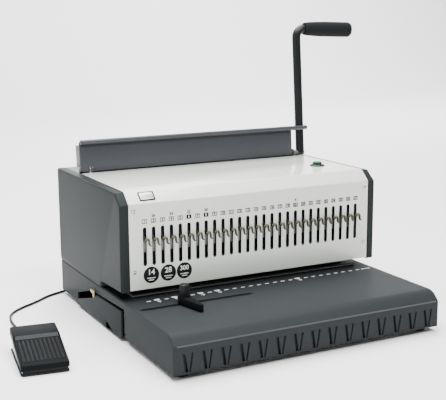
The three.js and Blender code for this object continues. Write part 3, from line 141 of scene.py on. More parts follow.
# One finish: a base colour with faint clouds, a surface grain, and gloss that varies a little.
# "stretch" draws the grain out along the axis with the smallest number. Scales are counts per metre.
usualFinish = {
    "stretch": (1, 1, 1), "clouds": 9, "cloudDetail": 3, "grainDetail": 4, "spread": 0.06,
    "speckle": 0, "speckleShade": 0.5, "glossGrain": 0.06, "glossClouds": 0.08, "cells": 0, "cellGrain": 0.35,
    "bump": 0.15, "depth": 0.0002, "metallic": 0, "coat": 0, "coatRoughness": 0.08, "specular": 0.5,
}


def makeFinish(name, chosen):
    size = {**usualFinish, "tint": chosen["colour"], **chosen}
    material = bpy.data.materials.new(name)
    material.use_nodes = True
    tree = material.node_tree
    shader = tree.nodes["Principled BSDF"]
    flow = Flow(tree)
    place = flow.node("TexCoord", output=3)
    drawn = flow.node("Mapping", {}, {"Vector": place, "Scale": size["stretch"]})
    clouds = flow.node("TexNoise", {}, {
        "Vector": place, "Scale": size["clouds"], "Detail": size["cloudDetail"]})
    grain = flow.node("TexNoise", {}, {
        "Vector": drawn, "Scale": size["grain"], "Detail": size["grainDetail"]})
    colour, spread = size["colour"], size["spread"]
    tone = mixed(flow, clouds, shade(colour, 1 - spread), shade(size["tint"], 1 + spread))
    if size["speckle"]:
        tone = mixed(flow, grain * size["speckle"], tone, shade(colour, size["speckleShade"]))
    rough = (size["roughness"] + (grain - 0.5) * size["glossGrain"]
             + (clouds - 0.5) * size["glossClouds"])
    height = grain
    if size["cells"]:
        pores = flow.node("TexVoronoi", {}, {"Vector": drawn, "Scale": size["cells"]})
        height = grain * size["cellGrain"] + pores
    relief = flow.node("Bump", {}, {
        "Strength": size["bump"], "Distance": size["depth"], "Height": height})
    for key, value in (("Base Color", tone), ("Roughness", rough), ("Normal", relief)):
        tree.links.new(value.socket, shader.inputs[key])
    for key, value in (("Metallic", "metallic"), ("Coat Weight", "coat"),
                       ("Coat Roughness", "coatRoughness"), ("Specular IOR Level", "specular")):
        shader.inputs[key].default_value = size[value]
    return material


finishSizes = {
    "creamPaint": {"colour": (0.70, 0.74, 0.675), "grain": 420, "roughness": 0.3, "bump": 0.04,
                   "depth": 0.0001, "spread": 0.015, "coat": 0.6, "coatRoughness": 0.06,
                   "glossGrain": 0.03, "glossClouds": 0.05},
    "greyPlastic": {"colour": (0.0265, 0.0295, 0.0312), "grain": 2400, "roughness": 0.46, "bump": 0.22,
                    "depth": 0.00012, "specular": 0.03, "spread": 0.05, "speckle": 0.22, "speckleShade": 0.7},
    "sidePlastic": {"colour": (0.021, 0.0247, 0.0254), "grain": 2400, "roughness": 0.42, "bump": 0.22,
                    "depth": 0.00012, "specular": 0.04, "spread": 0.05, "speckle": 0.22, "speckleShade": 0.7},
    "bluePaint": {"colour": (0.046, 0.0475, 0.056), "grain": 900, "roughness": 0.36, "bump": 0.08,
                  "depth": 0.0001, "spread": 0.05, "specular": 0.22, "coat": 0.08, "coatRoughness": 0.2},
    "blackPaint": {"colour": (0.007, 0.008, 0.009), "grain": 500, "roughness": 0.36, "bump": 0.05,
                   "depth": 0.0001, "specular": 0.2, "coat": 0.1, "coatRoughness": 0.2},
    "blackPlastic": {"colour": (0.009, 0.010, 0.011), "grain": 2600, "roughness": 0.42, "bump": 0.2,
                     "depth": 0.0001, "specular": 0.35, "speckle": 0.2, "speckleShade": 1.6},
    "pedalPlastic": {"colour": (0.0065, 0.0074, 0.0083), "grain": 2600, "roughness": 0.42, "bump": 0.15,
                     "depth": 0.0001, "specular": 0.02},
    # The finish below is a lighter copy of pedalPlastic: a painted highlight on the pedal's ribs
    "treadPlastic": {"colour": (0.009, 0.0098, 0.0104), "grain": 2600, "roughness": 0.4, "bump": 0.15,
                     "depth": 0.0001, "specular": 0.06},
    # The finish below is a lighter copy of pedalPlastic: a painted highlight on the pedal's sloping band
    "bandPlastic": {"colour": (0.033, 0.036, 0.038), "grain": 2600, "roughness": 0.4, "bump": 0.15,
                    "depth": 0.0001, "specular": 0.06},
    # The finish below is a lighter copy of greyPlastic: a painted highlight along the nose edge of the base
    "edgePlastic": {"colour": (0.062, 0.068, 0.072), "grain": 2400, "roughness": 0.42, "bump": 0.15,
                    "depth": 0.0001, "specular": 0.1},
    "rubber": {"colour": (0.008, 0.009, 0.010), "specular": 0.3, "grain": 1500, "roughness": 0.72,
               "bump": 0.3, "depth": 0.00015, "speckle": 0.3, "speckleShade": 2.0},
    "foam": {"colour": (0.0072, 0.0082, 0.0086), "specular": 0.1, "grain": 1900, "roughness": 0.78,
             "bump": 0.55, "depth": 0.0003, "cells": 900, "speckle": 0.35, "speckleShade": 2.2},
    "goldZinc": {"colour": (0.085, 0.081, 0.047), "tint": (0.12, 0.112, 0.07), "grain": 700, "clouds": 60,
                 "roughness": 0.34, "metallic": 0.3, "bump": 0.12, "depth": 0.0001, "spread": 0.12,
                 "specular": 0.2},
    "hookSteel": {"colour": (0.20, 0.205, 0.20), "grain": 700, "roughness": 0.35, "metallic": 0.4,
                  "bump": 0.1, "depth": 0.0001, "specular": 0.4},
    "brightSteel": {"colour": (0.62, 0.64, 0.65), "grain": 260, "stretch": (1, 18, 18), "roughness": 0.24,
                    "metallic": 1, "bump": 0.12, "depth": 0.00006, "glossGrain": 0.12},
    "darkSteel": {"colour": (0.20, 0.205, 0.21), "grain": 300, "stretch": (1, 14, 14), "roughness": 0.42,
                  "metallic": 1, "bump": 0.15, "depth": 0.00008, "glossGrain": 0.14},
    "zincSheet": {"colour": (0.52, 0.56, 0.58), "tint": (0.48, 0.50, 0.515), "grain": 500, "clouds": 45,
                  "roughness": 0.42, "metallic": 0.85, "bump": 0.1, "depth": 0.00008, "spread": 0.1},
    "greenPlastic": {"colour": (0.0025, 0.068, 0.024), "grain": 900, "roughness": 0.4, "bump": 0.05,
                     "depth": 0.0001, "specular": 0.15},
    "boardGreen": {"colour": (0.02, 0.10, 0.045), "grain": 1600, "roughness": 0.5, "bump": 0.1},
    "brass": {"colour": (0.34, 0.28, 0.11), "grain": 500, "stretch": (1, 1, 12), "roughness": 0.35,
              "metallic": 1, "bump": 0.1, "depth": 0.00008, "glossGrain": 0.1},
    "whitePrint": {"colour": (0.72, 0.73, 0.72), "grain": 1800, "roughness": 0.45, "bump": 0.1,
                   "speckle": 0.25, "speckleShade": 0.75},
    "greyPrint": {"colour": (0.024, 0.026, 0.024), "grain": 1800, "roughness": 0.45, "bump": 0.1},
    "stickerBlack": {"colour": (0.006, 0.0065, 0.007), "grain": 1200, "roughness": 0.4, "bump": 0.04,
                     "specular": 0.15},
    "platePlain": {"colour": (0.52, 0.50, 0.50), "grain": 300, "stretch": (1, 16, 16), "roughness": 0.35,
                   "metallic": 0.7, "bump": 0.1, "depth": 0.00006},
    "cordSheath": {"colour": (0.006, 0.0065, 0.007), "grain": 1500, "roughness": 0.4, "bump": 0.12,
                   "specular": 0.12},
}
finishes = {name: makeFinish(name, size) for name, size in finishSizes.items()}
print("stage: finishes,", len(finishes))


# Mesh helpers, all in millimetres

past = 1  # how far a cutting piece reaches past a face
nearly = 0.01  # points closer than this count as on a face


def newPiece(name, mesh):
    piece = bpy.data.objects.new(name, mesh)
    bpy.context.scene.collection.objects.link(piece)
    return piece


def closeMesh(name, shape):
    bmesh.ops.remove_doubles(shape, verts=shape.verts, dist=0.0005)
    bmesh.ops.recalc_face_normals(shape, faces=shape.faces)
    mesh = bpy.data.meshes.new(name)
    shape.to_mesh(mesh)
    shape.free()
    return newPiece(name, mesh)


def settle(piece):  # modifiers become plain mesh
    bpy.context.view_layer.update()
    mesh = bpy.data.meshes.new_from_object(piece.evaluated_get(bpy.context.evaluated_depsgraph_get()))
    piece.modifiers.clear()
    piece.data = mesh
    return piece


def moved(piece, matrix):
    piece.data.transform(matrix)
    return piece


def dropped(*pieces):
    for piece in pieces:
        bpy.data.objects.remove(piece)


lifts = {"x": lambda a, b, s: (s, a, b), "y": lambda a, b, s: (a, s, b), "z": lambda a, b, s: (a, b, s)}


def prism(name, outline, span, axis="x"):
    shape = bmesh.new()
    rings = [[shape.verts.new(lifts[axis](a, b, s)) for a, b in outline] for s in span]
    for index in range(len(outline)):
        after = (index + 1) % len(outline)
        shape.faces.new((rings[0][index], rings[0][after], rings[1][after], rings[1][index]))
    shape.faces.new(rings[0])
    shape.faces.new(rings[1])
    return closeMesh(name, shape)


def framePrism(name, outer, inner, span, axis):  # between two outlines of as many points
    shape = bmesh.new()
    loops = [[shape.verts.new(lifts[axis](a, b, s)) for a, b in line]
             for line, s in ((outer, span[0]), (outer, span[1]), (inner, span[1]), (inner, span[0]))]
    for loop, following in zip(loops, loops[1:] + loops[:1]):
        for index in range(len(loop)):
            after = (index + 1) % len(loop)
            shape.faces.new((loop[index], loop[after], following[after], following[index]))
    return closeMesh(name, shape)


def brick(name, xs, ys, zs):
    return prism(name, [(ys[0], zs[0]), (ys[1], zs[0]), (ys[1], zs[1]), (ys[0], zs[1])], xs)


def oblong(wide, tall):  # a rectangle about the origin, from its half sizes
    return [(-wide, -tall), (wide, -tall), (wide, tall), (-wide, tall)]


def rounded(points, radii, steps=4):  # corners of a closed outline become arcs
    result = []
    for index, point in enumerate(points):
        radius = radii[index] if isinstance(radii, (list, tuple)) else radii
        here = Vector(point)
        if radius <= 0:
            result.append(tuple(here))
            continue
        back = (Vector(points[index - 1]) - here).normalized()
        on = (Vector(points[(index + 1) % len(points)]) - here).normalized()
        angle = back.angle(on)
        centre = here + (back + on).normalized() * (radius / math.sin(angle / 2))
        first = here + back * (radius / math.tan(angle / 2)) - centre
        turn = math.copysign(math.pi - angle, (-back).cross(on))
        for step in range(steps + 1):
            part = first.copy()
            part.rotate(Matrix.Rotation(turn * step / steps, 2))
            result.append(tuple(centre + part))
    return result


def offsetLine(points, distance):  # an open line moved to its left
    result = []
    for index, point in enumerate(points):
        here = Vector(point)
        ways = []
        if index > 0:
            ways.append((here - Vector(points[index - 1])).normalized())
        if index < len(points) - 1:
            ways.append((Vector(points[index + 1]) - here).normalized())
        side = sum((Vector((-way.y, way.x)) for way in ways), Vector((0, 0))) / len(ways)
        result.append(tuple(here + side * (distance / side.length_squared)))
    return result


def bentSheet(points, thickness, radius, steps):  # the section of a sheet on the right of its line
    inner = offsetLine(points, -thickness)
    bends = [0] + [radius] * (len(points) - 2) + [0]
    tight = [0] + [max(radius - thickness, 0.4)] * (len(points) - 2) + [0]
    return rounded(points, bends, steps) + rounded(inner, tight, steps)[::-1]


def spun(name, profile, sides):  # a profile of (radius, height) turned about Z
    shape = bmesh.new()
    rings = []
    for radius, height in profile:
        if radius <= 0:
            rings.append([shape.verts.new((0, 0, height))])
        else:
            angles = (2 * math.pi * side / sides for side in range(sides))
            ring = [(radius * math.cos(a), radius * math.sin(a), height) for a in angles]
            rings.append([shape.verts.new(corner) for corner in ring])
    for low, high in zip(rings, rings[1:]):
        for side in range(sides):
            after = (side + 1) % sides
            corners = []
            for ring, order in ((low, (side, after)), (high, (after, side))):
                corners += [ring[0]] if len(ring) == 1 else [ring[k] for k in order]
            if len(corners) > 2:
                shape.faces.new(corners)
    return closeMesh(name, shape)


def plug(name, radius, low, high, sides=24):  # a cylinder about Z
    return spun(name, [(0, low), (radius, low), (radius, high), (0, high)], sides)


def swept(name, path, radii, sides):  # a closed tube along a path of points in one plane
    shape = bmesh.new()
    rings = []
    for index, point in enumerate(path):
        here = Vector(point)
        ahead = (Vector(path[min(index + 1, len(path) - 1)]) - Vector(path[max(index - 1, 0)])).normalized()
        across = Vector((0, 1, 0))
        above = ahead.cross(across).normalized()
        angles = (2 * math.pi * side / sides for side in range(sides))
        rings.append([shape.verts.new(here + (across * math.cos(a) + above * math.sin(a)) * radii[index])
                      for a in angles])
    for low, high in zip(rings, rings[1:]):
        for side in range(sides):
            after = (side + 1) % sides
            shape.faces.new((low[side], low[after], high[after], high[side]))
    shape.faces.new(rings[0])
    shape.faces.new(rings[-1])
    return closeMesh(name, shape)


def softened(piece, width, segments=2, angle=40):
    bevel = piece.modifiers.new("soften", "BEVEL")
    bevel.width = width
    bevel.segments = segments
    bevel.limit_method = "ANGLE"
    bevel.angle_limit = math.radians(angle)
    return settle(piece)


# Bevels the edges that bend more than "least" and whose two ends are both chosen
def rimRounded(piece, chosen, width, segments, least=0.6):
    shape = bmesh.new()
    shape.from_mesh(piece.data)
    rim = [edge for edge in shape.edges if all(chosen(vert.co) for vert in edge.verts)
           and edge.calc_face_angle(0) > least]
    bmesh.ops.bevel(shape, geom=rim, offset=width, segments=segments, profile=0.5, affect="EDGES")
    shape.to_mesh(piece.data)
    shape.free()
    return piece


def onEnds(half):  # picks the points at x = -half and x = half
    return lambda place: abs(abs(place.x) - half) < nearly


def combined(piece, operation, tools):
    for tool in tools:
        step = piece.modifiers.new("cut", "BOOLEAN")
        step.operation = operation
        step.solver = "EXACT"
        step.object = tool
    settle(piece)
    dropped(*tools)
    return piece


def carved(piece, *tools):
    return combined(piece, "DIFFERENCE", tools)


def welded(piece, *tools):
    return combined(piece, "UNION", tools)


def gathered(name, pieces):  # several meshes as one, without a boolean
    shape = bmesh.new()
    for piece in pieces:
        shape.from_mesh(piece.data)
    mesh = bpy.data.meshes.new(name)
    shape.to_mesh(mesh)
    shape.free()
    dropped(*pieces)
    return newPiece(name, mesh)


def dressed(piece, finish, body, replaced=(), frameOf=None, smooth=32):
    piece.data.transform(toPart @ (frameOf or Matrix.Identity(4)))
    piece.data.materials.clear()
    piece.data.materials.append(finishes[finish])
    piece.data.shade_smooth()
    piece.data.set_sharp_from_angle(angle=math.radians(smooth))
    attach(piece, body)
    if replaced:
        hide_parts(*replaced)
    return piece


# Geometry Nodes: a row of one pattern along a step, and a ring of it about Z

def newTree(name, inputs):
    tree = bpy.data.node_groups.new(name, "GeometryNodeTree")
    tree.interface.new_socket("Geometry", in_out="OUTPUT", socket_type="NodeSocketGeometry")
    for label, kind in inputs:
        tree.interface.new_socket(label, in_out="INPUT", socket_type="NodeSocket" + kind)
    return tree, tree.nodes.new("NodeGroupInput").outputs


def wire(tree, kind, settings=None, links=None):
    made = tree.nodes.new(kind)
    for key, value in (settings or {}).items():
        setattr(made, key, value)
    for key, value in (links or {}).items():
        if isinstance(value, bpy.types.NodeSocket):
            tree.links.new(value, made.inputs[key])
        else:
            made.inputs[key].default_value = value
    return made.outputs


def finishTree(tree, source, points, rotation=None):
    pattern = wire(tree, "GeometryNodeObjectInfo", {"transform_space": "ORIGINAL"}, {
        "Object": source["Pattern"]})
    links = {"Points": points, "Instance": pattern["Geometry"]}
    if rotation is not None:
        links["Rotation"] = rotation
    copies = wire(tree, "GeometryNodeInstanceOnPoints", {}, links)
    real = wire(tree, "GeometryNodeRealizeInstances", {}, {"Geometry": copies["Instances"]})
    painted = wire(tree, "GeometryNodeSetMaterial", {}, {
        "Geometry": real["Geometry"], "Material": source["Finish"]})
    wire(tree, "NodeGroupOutput", {}, {0: painted["Geometry"]})
    return tree


def makeRowTree():
    tree, source = newTree("row", [("Pattern", "Object"), ("Count", "Int"), ("Start", "Vector"),
                                   ("Step", "Vector"), ("Finish", "Material")])
    line = wire(tree, "GeometryNodeMeshLine", {"mode": "OFFSET"}, {
        "Count": source["Count"], "Start Location": source["Start"], "Offset": source["Step"]})
    return finishTree(tree, source, line["Mesh"])


def makeRingTree():
    tree, source = newTree("ring", [("Pattern", "Object"), ("Count", "Int"), ("Radius", "Float"),
                                    ("Pitch", "Float"), ("Finish", "Material")])
    circle = wire(tree, "GeometryNodeMeshCircle", {}, {
        "Vertices": source["Count"], "Radius": source["Radius"]})
    index = wire(tree, "GeometryNodeInputIndex")
    angle = wire(tree, "ShaderNodeMath", {"operation": "MULTIPLY"}, {0: index[0], 1: source["Pitch"]})
    turn = wire(tree, "ShaderNodeCombineXYZ", {}, {"Z": angle[0]})
    return finishTree(tree, source, circle["Mesh"], turn[0])


rowTree = makeRowTree()
ringTree = makeRingTree()


def grown(name, tree, values):
    piece = newPiece(name, bpy.data.meshes.new(name))
    step = piece.modifiers.new("grow", "NODES")
    step.node_group = tree
    for item in tree.interface.items_tree:
        if item.in_out == "INPUT" and item.name in values:
            step[item.identifier] = values[item.name]
    settle(piece)
    dropped(values["Pattern"])
    return piece


def row(name, pattern, count, start, step, finish="darkSteel"):
    return grown(name, rowTree, {"Pattern": pattern, "Count": count, "Start": start, "Step": step,
                                 "Finish": finishes[finish]})


def fourfold(name, pattern, start, across, up, finish="darkSteel"):
    return row(name, row("pair", pattern, 2, start, across, finish), 2, (0, 0, 0), up, finish)


print("stage: tools")


# Lead: out of the gland, round the coil behind the machine, and along the floor to the pedal

leadSize = {
    "radius": 2, "lift": 0.06, "gland": (-70, 320.3, 22), "centre": (-136, 353.5), "outer": 31.4,
    "inner": 16.4, "turns": 6, "overturn": 60, "start": 90, "rise": 4.7, "steps": 24,
    "leadOut": 4, "pedalExit": (6, 62.3, 9), "length": 1.4165,
}


def coilRoute(size):
    low = size["radius"] + size["lift"]
    total = size["turns"] * 2 * math.pi + math.radians(size["overturn"])
    steps = round(total / (2 * math.pi) * size["steps"])
    half = total / 2
    points = []
    for index in range(steps + 1):
        turn = total * index / steps
        share = min(1, max(0, (turn - half + math.pi / 2) / math.pi))
        climb = share * share * (3 - 2 * share)
        inward = max(0, abs(turn - half) - math.pi / 2) / (half - math.pi / 2)
        radius = size["inner"] + (size["outer"] - size["inner"]) * inward
        angle = math.radians(size["start"]) + turn
        points.append(Vector((size["centre"][0] + radius * math.cos(angle),
                              size["centre"][1] + radius * math.sin(angle), low + size["rise"] * climb)))
    return points


def leadRoute(size):
    low = size["radius"] + size["lift"]
    coil = coilRoute(size)
    inward = (coil[1] - coil[0]) * Vector((1, 1, 0))
    outward = (coil[-1] - coil[-2]) * Vector((1, 1, 0))
    inward.normalize()
    outward.normalize()
    x, y, z = size["gland"]
    route = [Vector(p) for p in (
        (x, y, z), (x, y + 6, z), (x - 0.5, 334, 20.6), (-72, 345, 13.6), (-75.5, 356, 6.4), (-82, 367, 2.9),
        (-92, 377, low + 0.1), (-106, 383.4, low), (-120, 384.9, low))]
    away = size["radius"] * 2 + size["leadOut"]
    route += [coil[0] - inward * away, *coil, coil[-1] + outward * away]
    route += [Vector(p) for p in (
        (-177, 341, 4.6), (-185, 330.5, 2.6), (-192, 322, low + 0.05), (-200, 313, low), (-216, 300, low),
        (-246, 285, low), (-281, 257, low), (-313, 234, low), (-333, 211, low), (-342, 180, low),
        (-344, 150, low), (-342.5, 122, low), (-341, 108, low + 0.1), (-339.5, 94, 3.6))]
    x, y, z = size["pedalExit"]
    route += [toPedal @ Vector(p) for p in ((x, y + 16.5, 6.4), (x, y + 5.5, z), (x, y, z))]
    return [toPart @ point for point in route]


def makeLead(size):
    route = leadRoute(size)
    curve = bpy.data.curves.new("pedal_lead", "CURVE")
    curve.dimensions = "3D"
    curve.resolution_u = 4
    curve.bevel_depth = size["radius"] * machineFrame["scale"]
    curve.bevel_resolution = 3
    curve.use_fill_caps = True
    spline = curve.splines.new("BEZIER")
    spline.bezier_points.add(len(route) - 1)
    for knot, point in zip(spline.bezier_points, route):
        knot.co = point
        knot.handle_left_type = knot.handle_right_type = "AUTO"
    lead = newPiece("pedal_lead", curve)
    curve.materials.append(finishes["cordSheath"])
    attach(lead, "machine")
    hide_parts("cord_run_machine", "cord_coil", "cord_run_pedal")
    return lead, route[0]


lead, leadExit = makeLead(leadSize)

glandSize = {"place": (-70, 296, 22), "neck": 4.5, "radius": 6.5, "flange": 3, "tip": 3, "length": 24,
             "inside": 5.5, "rings": 6, "groove": 0.35}


def makeGland(size):
    neck, tip, flange = size["neck"], size["tip"], size["flange"]
    profile = [(0, -size["inside"]), (neck, -size["inside"]), (neck, 0.3), (size["radius"], 0.3),
               (size["radius"], flange - 0.8), (size["radius"] - 0.8, flange), (neck, flange * 1.6)]
    span = size["length"] - flange * 1.6
    for ring in range(1, size["rings"] * 2):
        share = ring / (size["rings"] * 2)
        dent = size["groove"] if ring % 2 else 0
        profile.append((neck + (tip - neck) * share - dent, flange * 1.6 + span * share))
    profile += [(tip, size["length"] - 0.5), (tip - 0.5, size["length"]), (0, size["length"])]
    gland = spun("lead_gland", profile, 24)
    return dressed(gland, "rubber", "machine", ["cord_gland"],
                   Matrix.Translation(size["place"]) @ alongY)


gland = makeGland(glandSize)
print("stage: lead")


# Base housing

baseSize = {
    "half": 220.4975, "front": -172.9, "rear": 296, "foot": 8, "deck": 62, "noseBack": -159, "noseTop": 48,
    "wall": 2.5, "endRound": 4.5, "noseRound": 4.9, "deckRound": 24, "rearRound": 3,
    "slot": (-212, -33), "slotY": -45, "slotWide": 5.6, "chipHalf": 193.7, "chipY": 44, "chipWide": 6,
    "glandX": -70, "glandZ": 22, "glandHole": 4.8, "glandReach": 6, "frontWall": 7,
    "liningWide": 10.5, "liningEnd": 2, "liningHigh": 0.12,
    "stripHalf": 217, "stripY": (0.7, 3.5), "stripTop": 10.8,
    "edgeCentre": (-168, 45.98), "edgeRadii": (5, 4.6), "edgeAngles": (172, 165, 159, 153, 146),
    "edgeHalf": 215,
    "dieEdge": ((-199.7, 199.7), (19.4, 19.95), (62.4, 64.3)),
}
drawerMouth = [(-3, 0), (213, 0), (210, 23.5), (140, 45), (1, 51.5), (1, 15), (-3, 15)]
fluteSize = {
    "count": 15, "pitch": 28.5, "width": 16.6, "foot": 7.6, "bottom": 9.5, "top": 37, "steps": 8,
    "left": 4.6, "ramp": 2.6, "deep": 5.6, "ease": 0.3, "right": 1.9, "fine": 3.2, "floor": 0.7, "lean": 0.3,
    "proud": -2,
}


# A flute is a V of two grooves, a deep one on its left and a fine one on its right, that meet at its foot
def makeFlutes(size, front):
    left, right, fine, floor, lean, proud = (
        size[key] for key in ("left", "right", "fine", "floor", "lean", "proud"))
    shape = bmesh.new()
    rows = []
    for step in range(size["steps"] + 1):
        share = step / size["steps"]
        z = size["bottom"] + (size["top"] - size["bottom"]) * share
        half = (size["foot"] + (size["width"] - size["foot"]) * share) / 2
        deep = size["deep"] * (1 - size["ease"] * share)
        ramp = lean + size["ramp"] * share
        section = [(-half, proud), (-half, 0), (ramp - half, deep), (left - half, deep),
                   (left + lean - half, floor), (half - right - lean, floor), (half - right, fine),
                   (half - lean, fine), (half, 0), (half, proud)]
        rows.append([shape.verts.new((x, front + inward, z)) for x, inward in section])
    for low, high in zip(rows, rows[1:]):
        for k in range(len(low)):
            after = (k + 1) % len(low)
            shape.faces.new((low[k], low[after], high[after], high[k]))
    shape.faces.new(rows[0])
    shape.faces.new(rows[-1])
    span = size["pitch"] * (size["count"] - 1)
    return row("flutes", closeMesh("flute", shape), size["count"], (-span / 2, 0, 0), (size["pitch"], 0, 0))


def makeBase(size):
    half, wall, deck = size["half"], size["wall"], size["deck"]
    corners = [(size["front"], 0), (size["rear"], 0), (size["rear"], deck), (size["noseBack"], deck),
               (size["front"], size["noseTop"])]
    outline = rounded(corners, [0, 0, size["rearRound"], size["deckRound"], size["noseRound"]], 6)
    base = softened(prism("base_housing", outline, (-half, half)), size["endRound"], 4, 50)
    ring = offsetLine([*corners[1:], corners[0]], wall)
    inside = [(max(y, size["front"] + size["frontWall"]), z) for y, z in ring]
    inside[0], inside[-1] = (inside[0][0], -2 * past), (inside[-1][0], -2 * past)
    slotHalf, far = size["slotWide"] / 2, 5 * past
    (left, right), y = size["slot"], size["slotY"]
    slot = rounded([(left, y - slotHalf), (right, y - slotHalf), (right, y + slotHalf), (left, y + slotHalf)],
                   slotHalf - 0.05)
    top = (deck - wall - past, deck + past)
    chipHalf, reach = size["chipWide"] / 2, size["glandReach"]
    return carved(
        base,
        prism("cavity", inside, (-half + wall, half - wall)),
        brick("floor cut", (-half - far, half + far), (size["front"] - far, size["rear"] + far),
              (-far, size["foot"])),
        prism("drawer cut", drawerMouth, (-half - far, -half + wall + past)),
        prism("guide slot", slot, top, "z"),
        brick("chip slot", (-size["chipHalf"], size["chipHalf"]),
              (size["chipY"] - chipHalf, size["chipY"] + chipHalf), top),
        moved(plug("gland hole", size["glandHole"], -reach, reach),
              Matrix.Translation((size["glandX"], size["rear"], size["glandZ"])) @ alongY),
        makeFlutes(fluteSize, size["front"]),
        brick("rebate", (-size["stripHalf"], size["stripHalf"]),
              (size["front"] - past, size["front"] + size["stripY"][1]), (0, size["stripTop"])),
    )


def makeLining(size):  # a black strip let into the deck round the slot of the edge guide: painted shade that widens the dark of the slot
    left, right = size["slot"]
    deck, end, y = size["deck"], size["liningEnd"], size["slotY"]
    half, slotHalf = size["liningWide"] / 2, size["slotWide"] / 2
    corners = oblong(1, 1)
    inner = [(left if a < 0 else right, y + b * slotHalf) for a, b in corners]
    outer = [(x + a * end, y + b * half) for (x, _), (a, b) in zip(inner, corners)]
    return framePrism("slot_lining", outer, inner, (deck - 0.3, deck + size["liningHigh"]), "z")


# A black rubber strip that fills the rebate along the foot of the front: painted shadow under the front edge
# of the base
def makeStrip(size):
    return brick("base_seal", (-size["stripHalf"], size["stripHalf"]),
                 [size["front"] + y for y in size["stripY"]], (size["foot"], size["stripTop"]))


def makeNoseEdge(size):  # a lighter strip along the front edge, over the flutes: a painted highlight where the edge catches the light
    y, z = size["edgeCentre"]
    turns = [math.radians(angle) for angle in size["edgeAngles"]]
    outer, inner = ([(y + radius * math.cos(a), z + radius * math.sin(a)) for a in turns]
                    for radius in size["edgeRadii"])
    return prism("nose_edge", outer + inner[::-1], (-size["edgeHalf"], size["edgeHalf"]))


dressed(makeBase(baseSize), "greyPlastic", "machine", ["base_cover"])
dressed(makeLining(baseSize), "stickerBlack", "machine")
dressed(makeStrip(baseSize), "rubber", "machine")
# The strip below is a painted highlight along the front edge of the nose
dressed(makeNoseEdge(baseSize), "edgePlastic", "machine")
# A thin white strip at the foot of the die's front: a painted highlight where the die edge catches light
# inside the shaded throat
dressed(softened(brick("die_edge", *baseSize["dieEdge"]), 0.2), "whitePrint", "machine")

footSize = {"radius": 12, "height": 8, "taper": 1.5, "x": 199.9975, "front": -150, "rear": 270}


def makeFeet(size):
    radius, height, taper = size["radius"], size["height"], size["taper"]
    profile = [(0, 0.6), (radius - taper * 3, 0.6), (radius - taper * 2.6, 0), (radius - taper - 0.8, 0),
               (radius - taper, 0.8), (radius, height - taper), (radius, height), (0, height)]
    return fourfold("feet", spun("foot", profile, 28), (-size["x"], size["front"], 0), (size["x"] * 2, 0, 0),
                    (0, size["rear"] - size["front"], 0), "rubber")


dressed(makeFeet(footSize), "rubber", "machine",
        ["foot_front_left", "foot_front_right", "foot_rear_left", "foot_rear_right"])
print("stage: base")


# Side covers with a broad rounded rim

sideSize = {
    "inner": 210.2975, "outer": 223.6975, "wall": 2.5, "rim": 3.2,
    "corner": [1.5, 3, 3, 3, 3, 3, 2.5, 2.5],
    "outline": [(0, 76), (86, 73), (93, 62.6), (284, 62.6), (289, 69), (289, 222), (19.5, 222), (0, 206)],
}


def makeSide(name, side, size):
    spans = {key: sorted(side * edge for edge in edges) for key, edges in {
        "whole": (size["inner"], size["outer"]),
        "hollow": (size["inner"] - past, size["outer"] - size["wall"])}.items()}
    corners = size["outline"]
    cover = prism(name, rounded(corners, size["corner"], 3), spans["whole"])
    rimRounded(cover, onEnds(size["outer"]), size["rim"], 4)
    ring = [corners[-1], *corners, corners[0]]
    inside = offsetLine(ring, size["wall"])[1:-1]
    return carved(cover, prism("hollow", inside, spans["hollow"]))


for name, side in (("left", -1), ("right", 1)):
    dressed(makeSide(name + "_end_cover", side, sideSize), "sidePlastic", "machine",
            [name + "_side_cover"])


# Front cover: one bent sheet with the slots of the hooks

coverSize = {
    "half": 209.9975, "sheet": 1.5, "bend": 4.5, "bottom": 78, "knee": 207, "chamferY": 18.8, "top": 223.7,
    "rear": 201, "hookCount": 27, "pitch": 14.2875, "slotWide": 5.8, "slotLow": 113.2, "slotHigh": 171.4,
    "sleeve": 0.4, "sleeveY": (0.06, 2.2),
    "rim": 0.45, "buttonX": 165, "buttonY": 83, "buttonHole": 10.3, "buttonReach": 5,
    "screwX": 202.9975, "screwLow": 106, "screwHigh": 196.5, "screwHole": 1.8, "screwReach": 4,
}
rowHalf = coverSize["pitch"] * (coverSize["hookCount"] - 1) / 2


def slotX(number):  # the middle of a slot, counted from the left
    return -rowHalf + (number - 1) * coverSize["pitch"]


def hookRow(name, pattern, finish="darkSteel", y=0, z=0):  # one pattern at each slot
    return row(name, pattern, coverSize["hookCount"], (-rowHalf, y, z), (coverSize["pitch"], 0, 0), finish)


def atScrews(name, pattern, size):  # one pattern at each screw of the panel
    return fourfold(name, pattern, (-size["screwX"], 0, size["screwLow"]), (size["screwX"] * 2, 0, 0),
                    (0, 0, size["screwHigh"] - size["screwLow"]))


def slotOutline(x, wide, low, high):
    points = [(x - wide / 2, low), (x + wide / 2, low), (x + wide / 2, high), (x - wide / 2, high)]
    return rounded(points, wide / 2 - 0.02, 6)


def makeFrontCover(size):
    line = [(size["rear"], size["top"]), (size["chamferY"], size["top"]),
            (0, size["knee"]), (0, size["bottom"])]
    outline = bentSheet(line, -size["sheet"], size["bend"], 6)
    cover = prism("front_panel", outline, (-size["half"], size["half"]))
    rimRounded(cover, onEnds(size["half"]), size["rim"], 2)
    slot = prism("slot", slotOutline(0, size["slotWide"], size["slotLow"], size["slotHigh"]),
                 (-past, size["sheet"] + past), "y")
    hole = plug("screw hole", size["screwHole"], -size["screwReach"], size["screwReach"], 16)
    holes = atScrews("screw holes", moved(hole, alongY), size)
    button = plug("button hole", size["buttonHole"], -size["buttonReach"], size["buttonReach"], 40)
    moved(button, Matrix.Translation((size["buttonX"], size["buttonY"], size["top"])))
    return carved(cover, hookRow("slots", slot), holes, button)


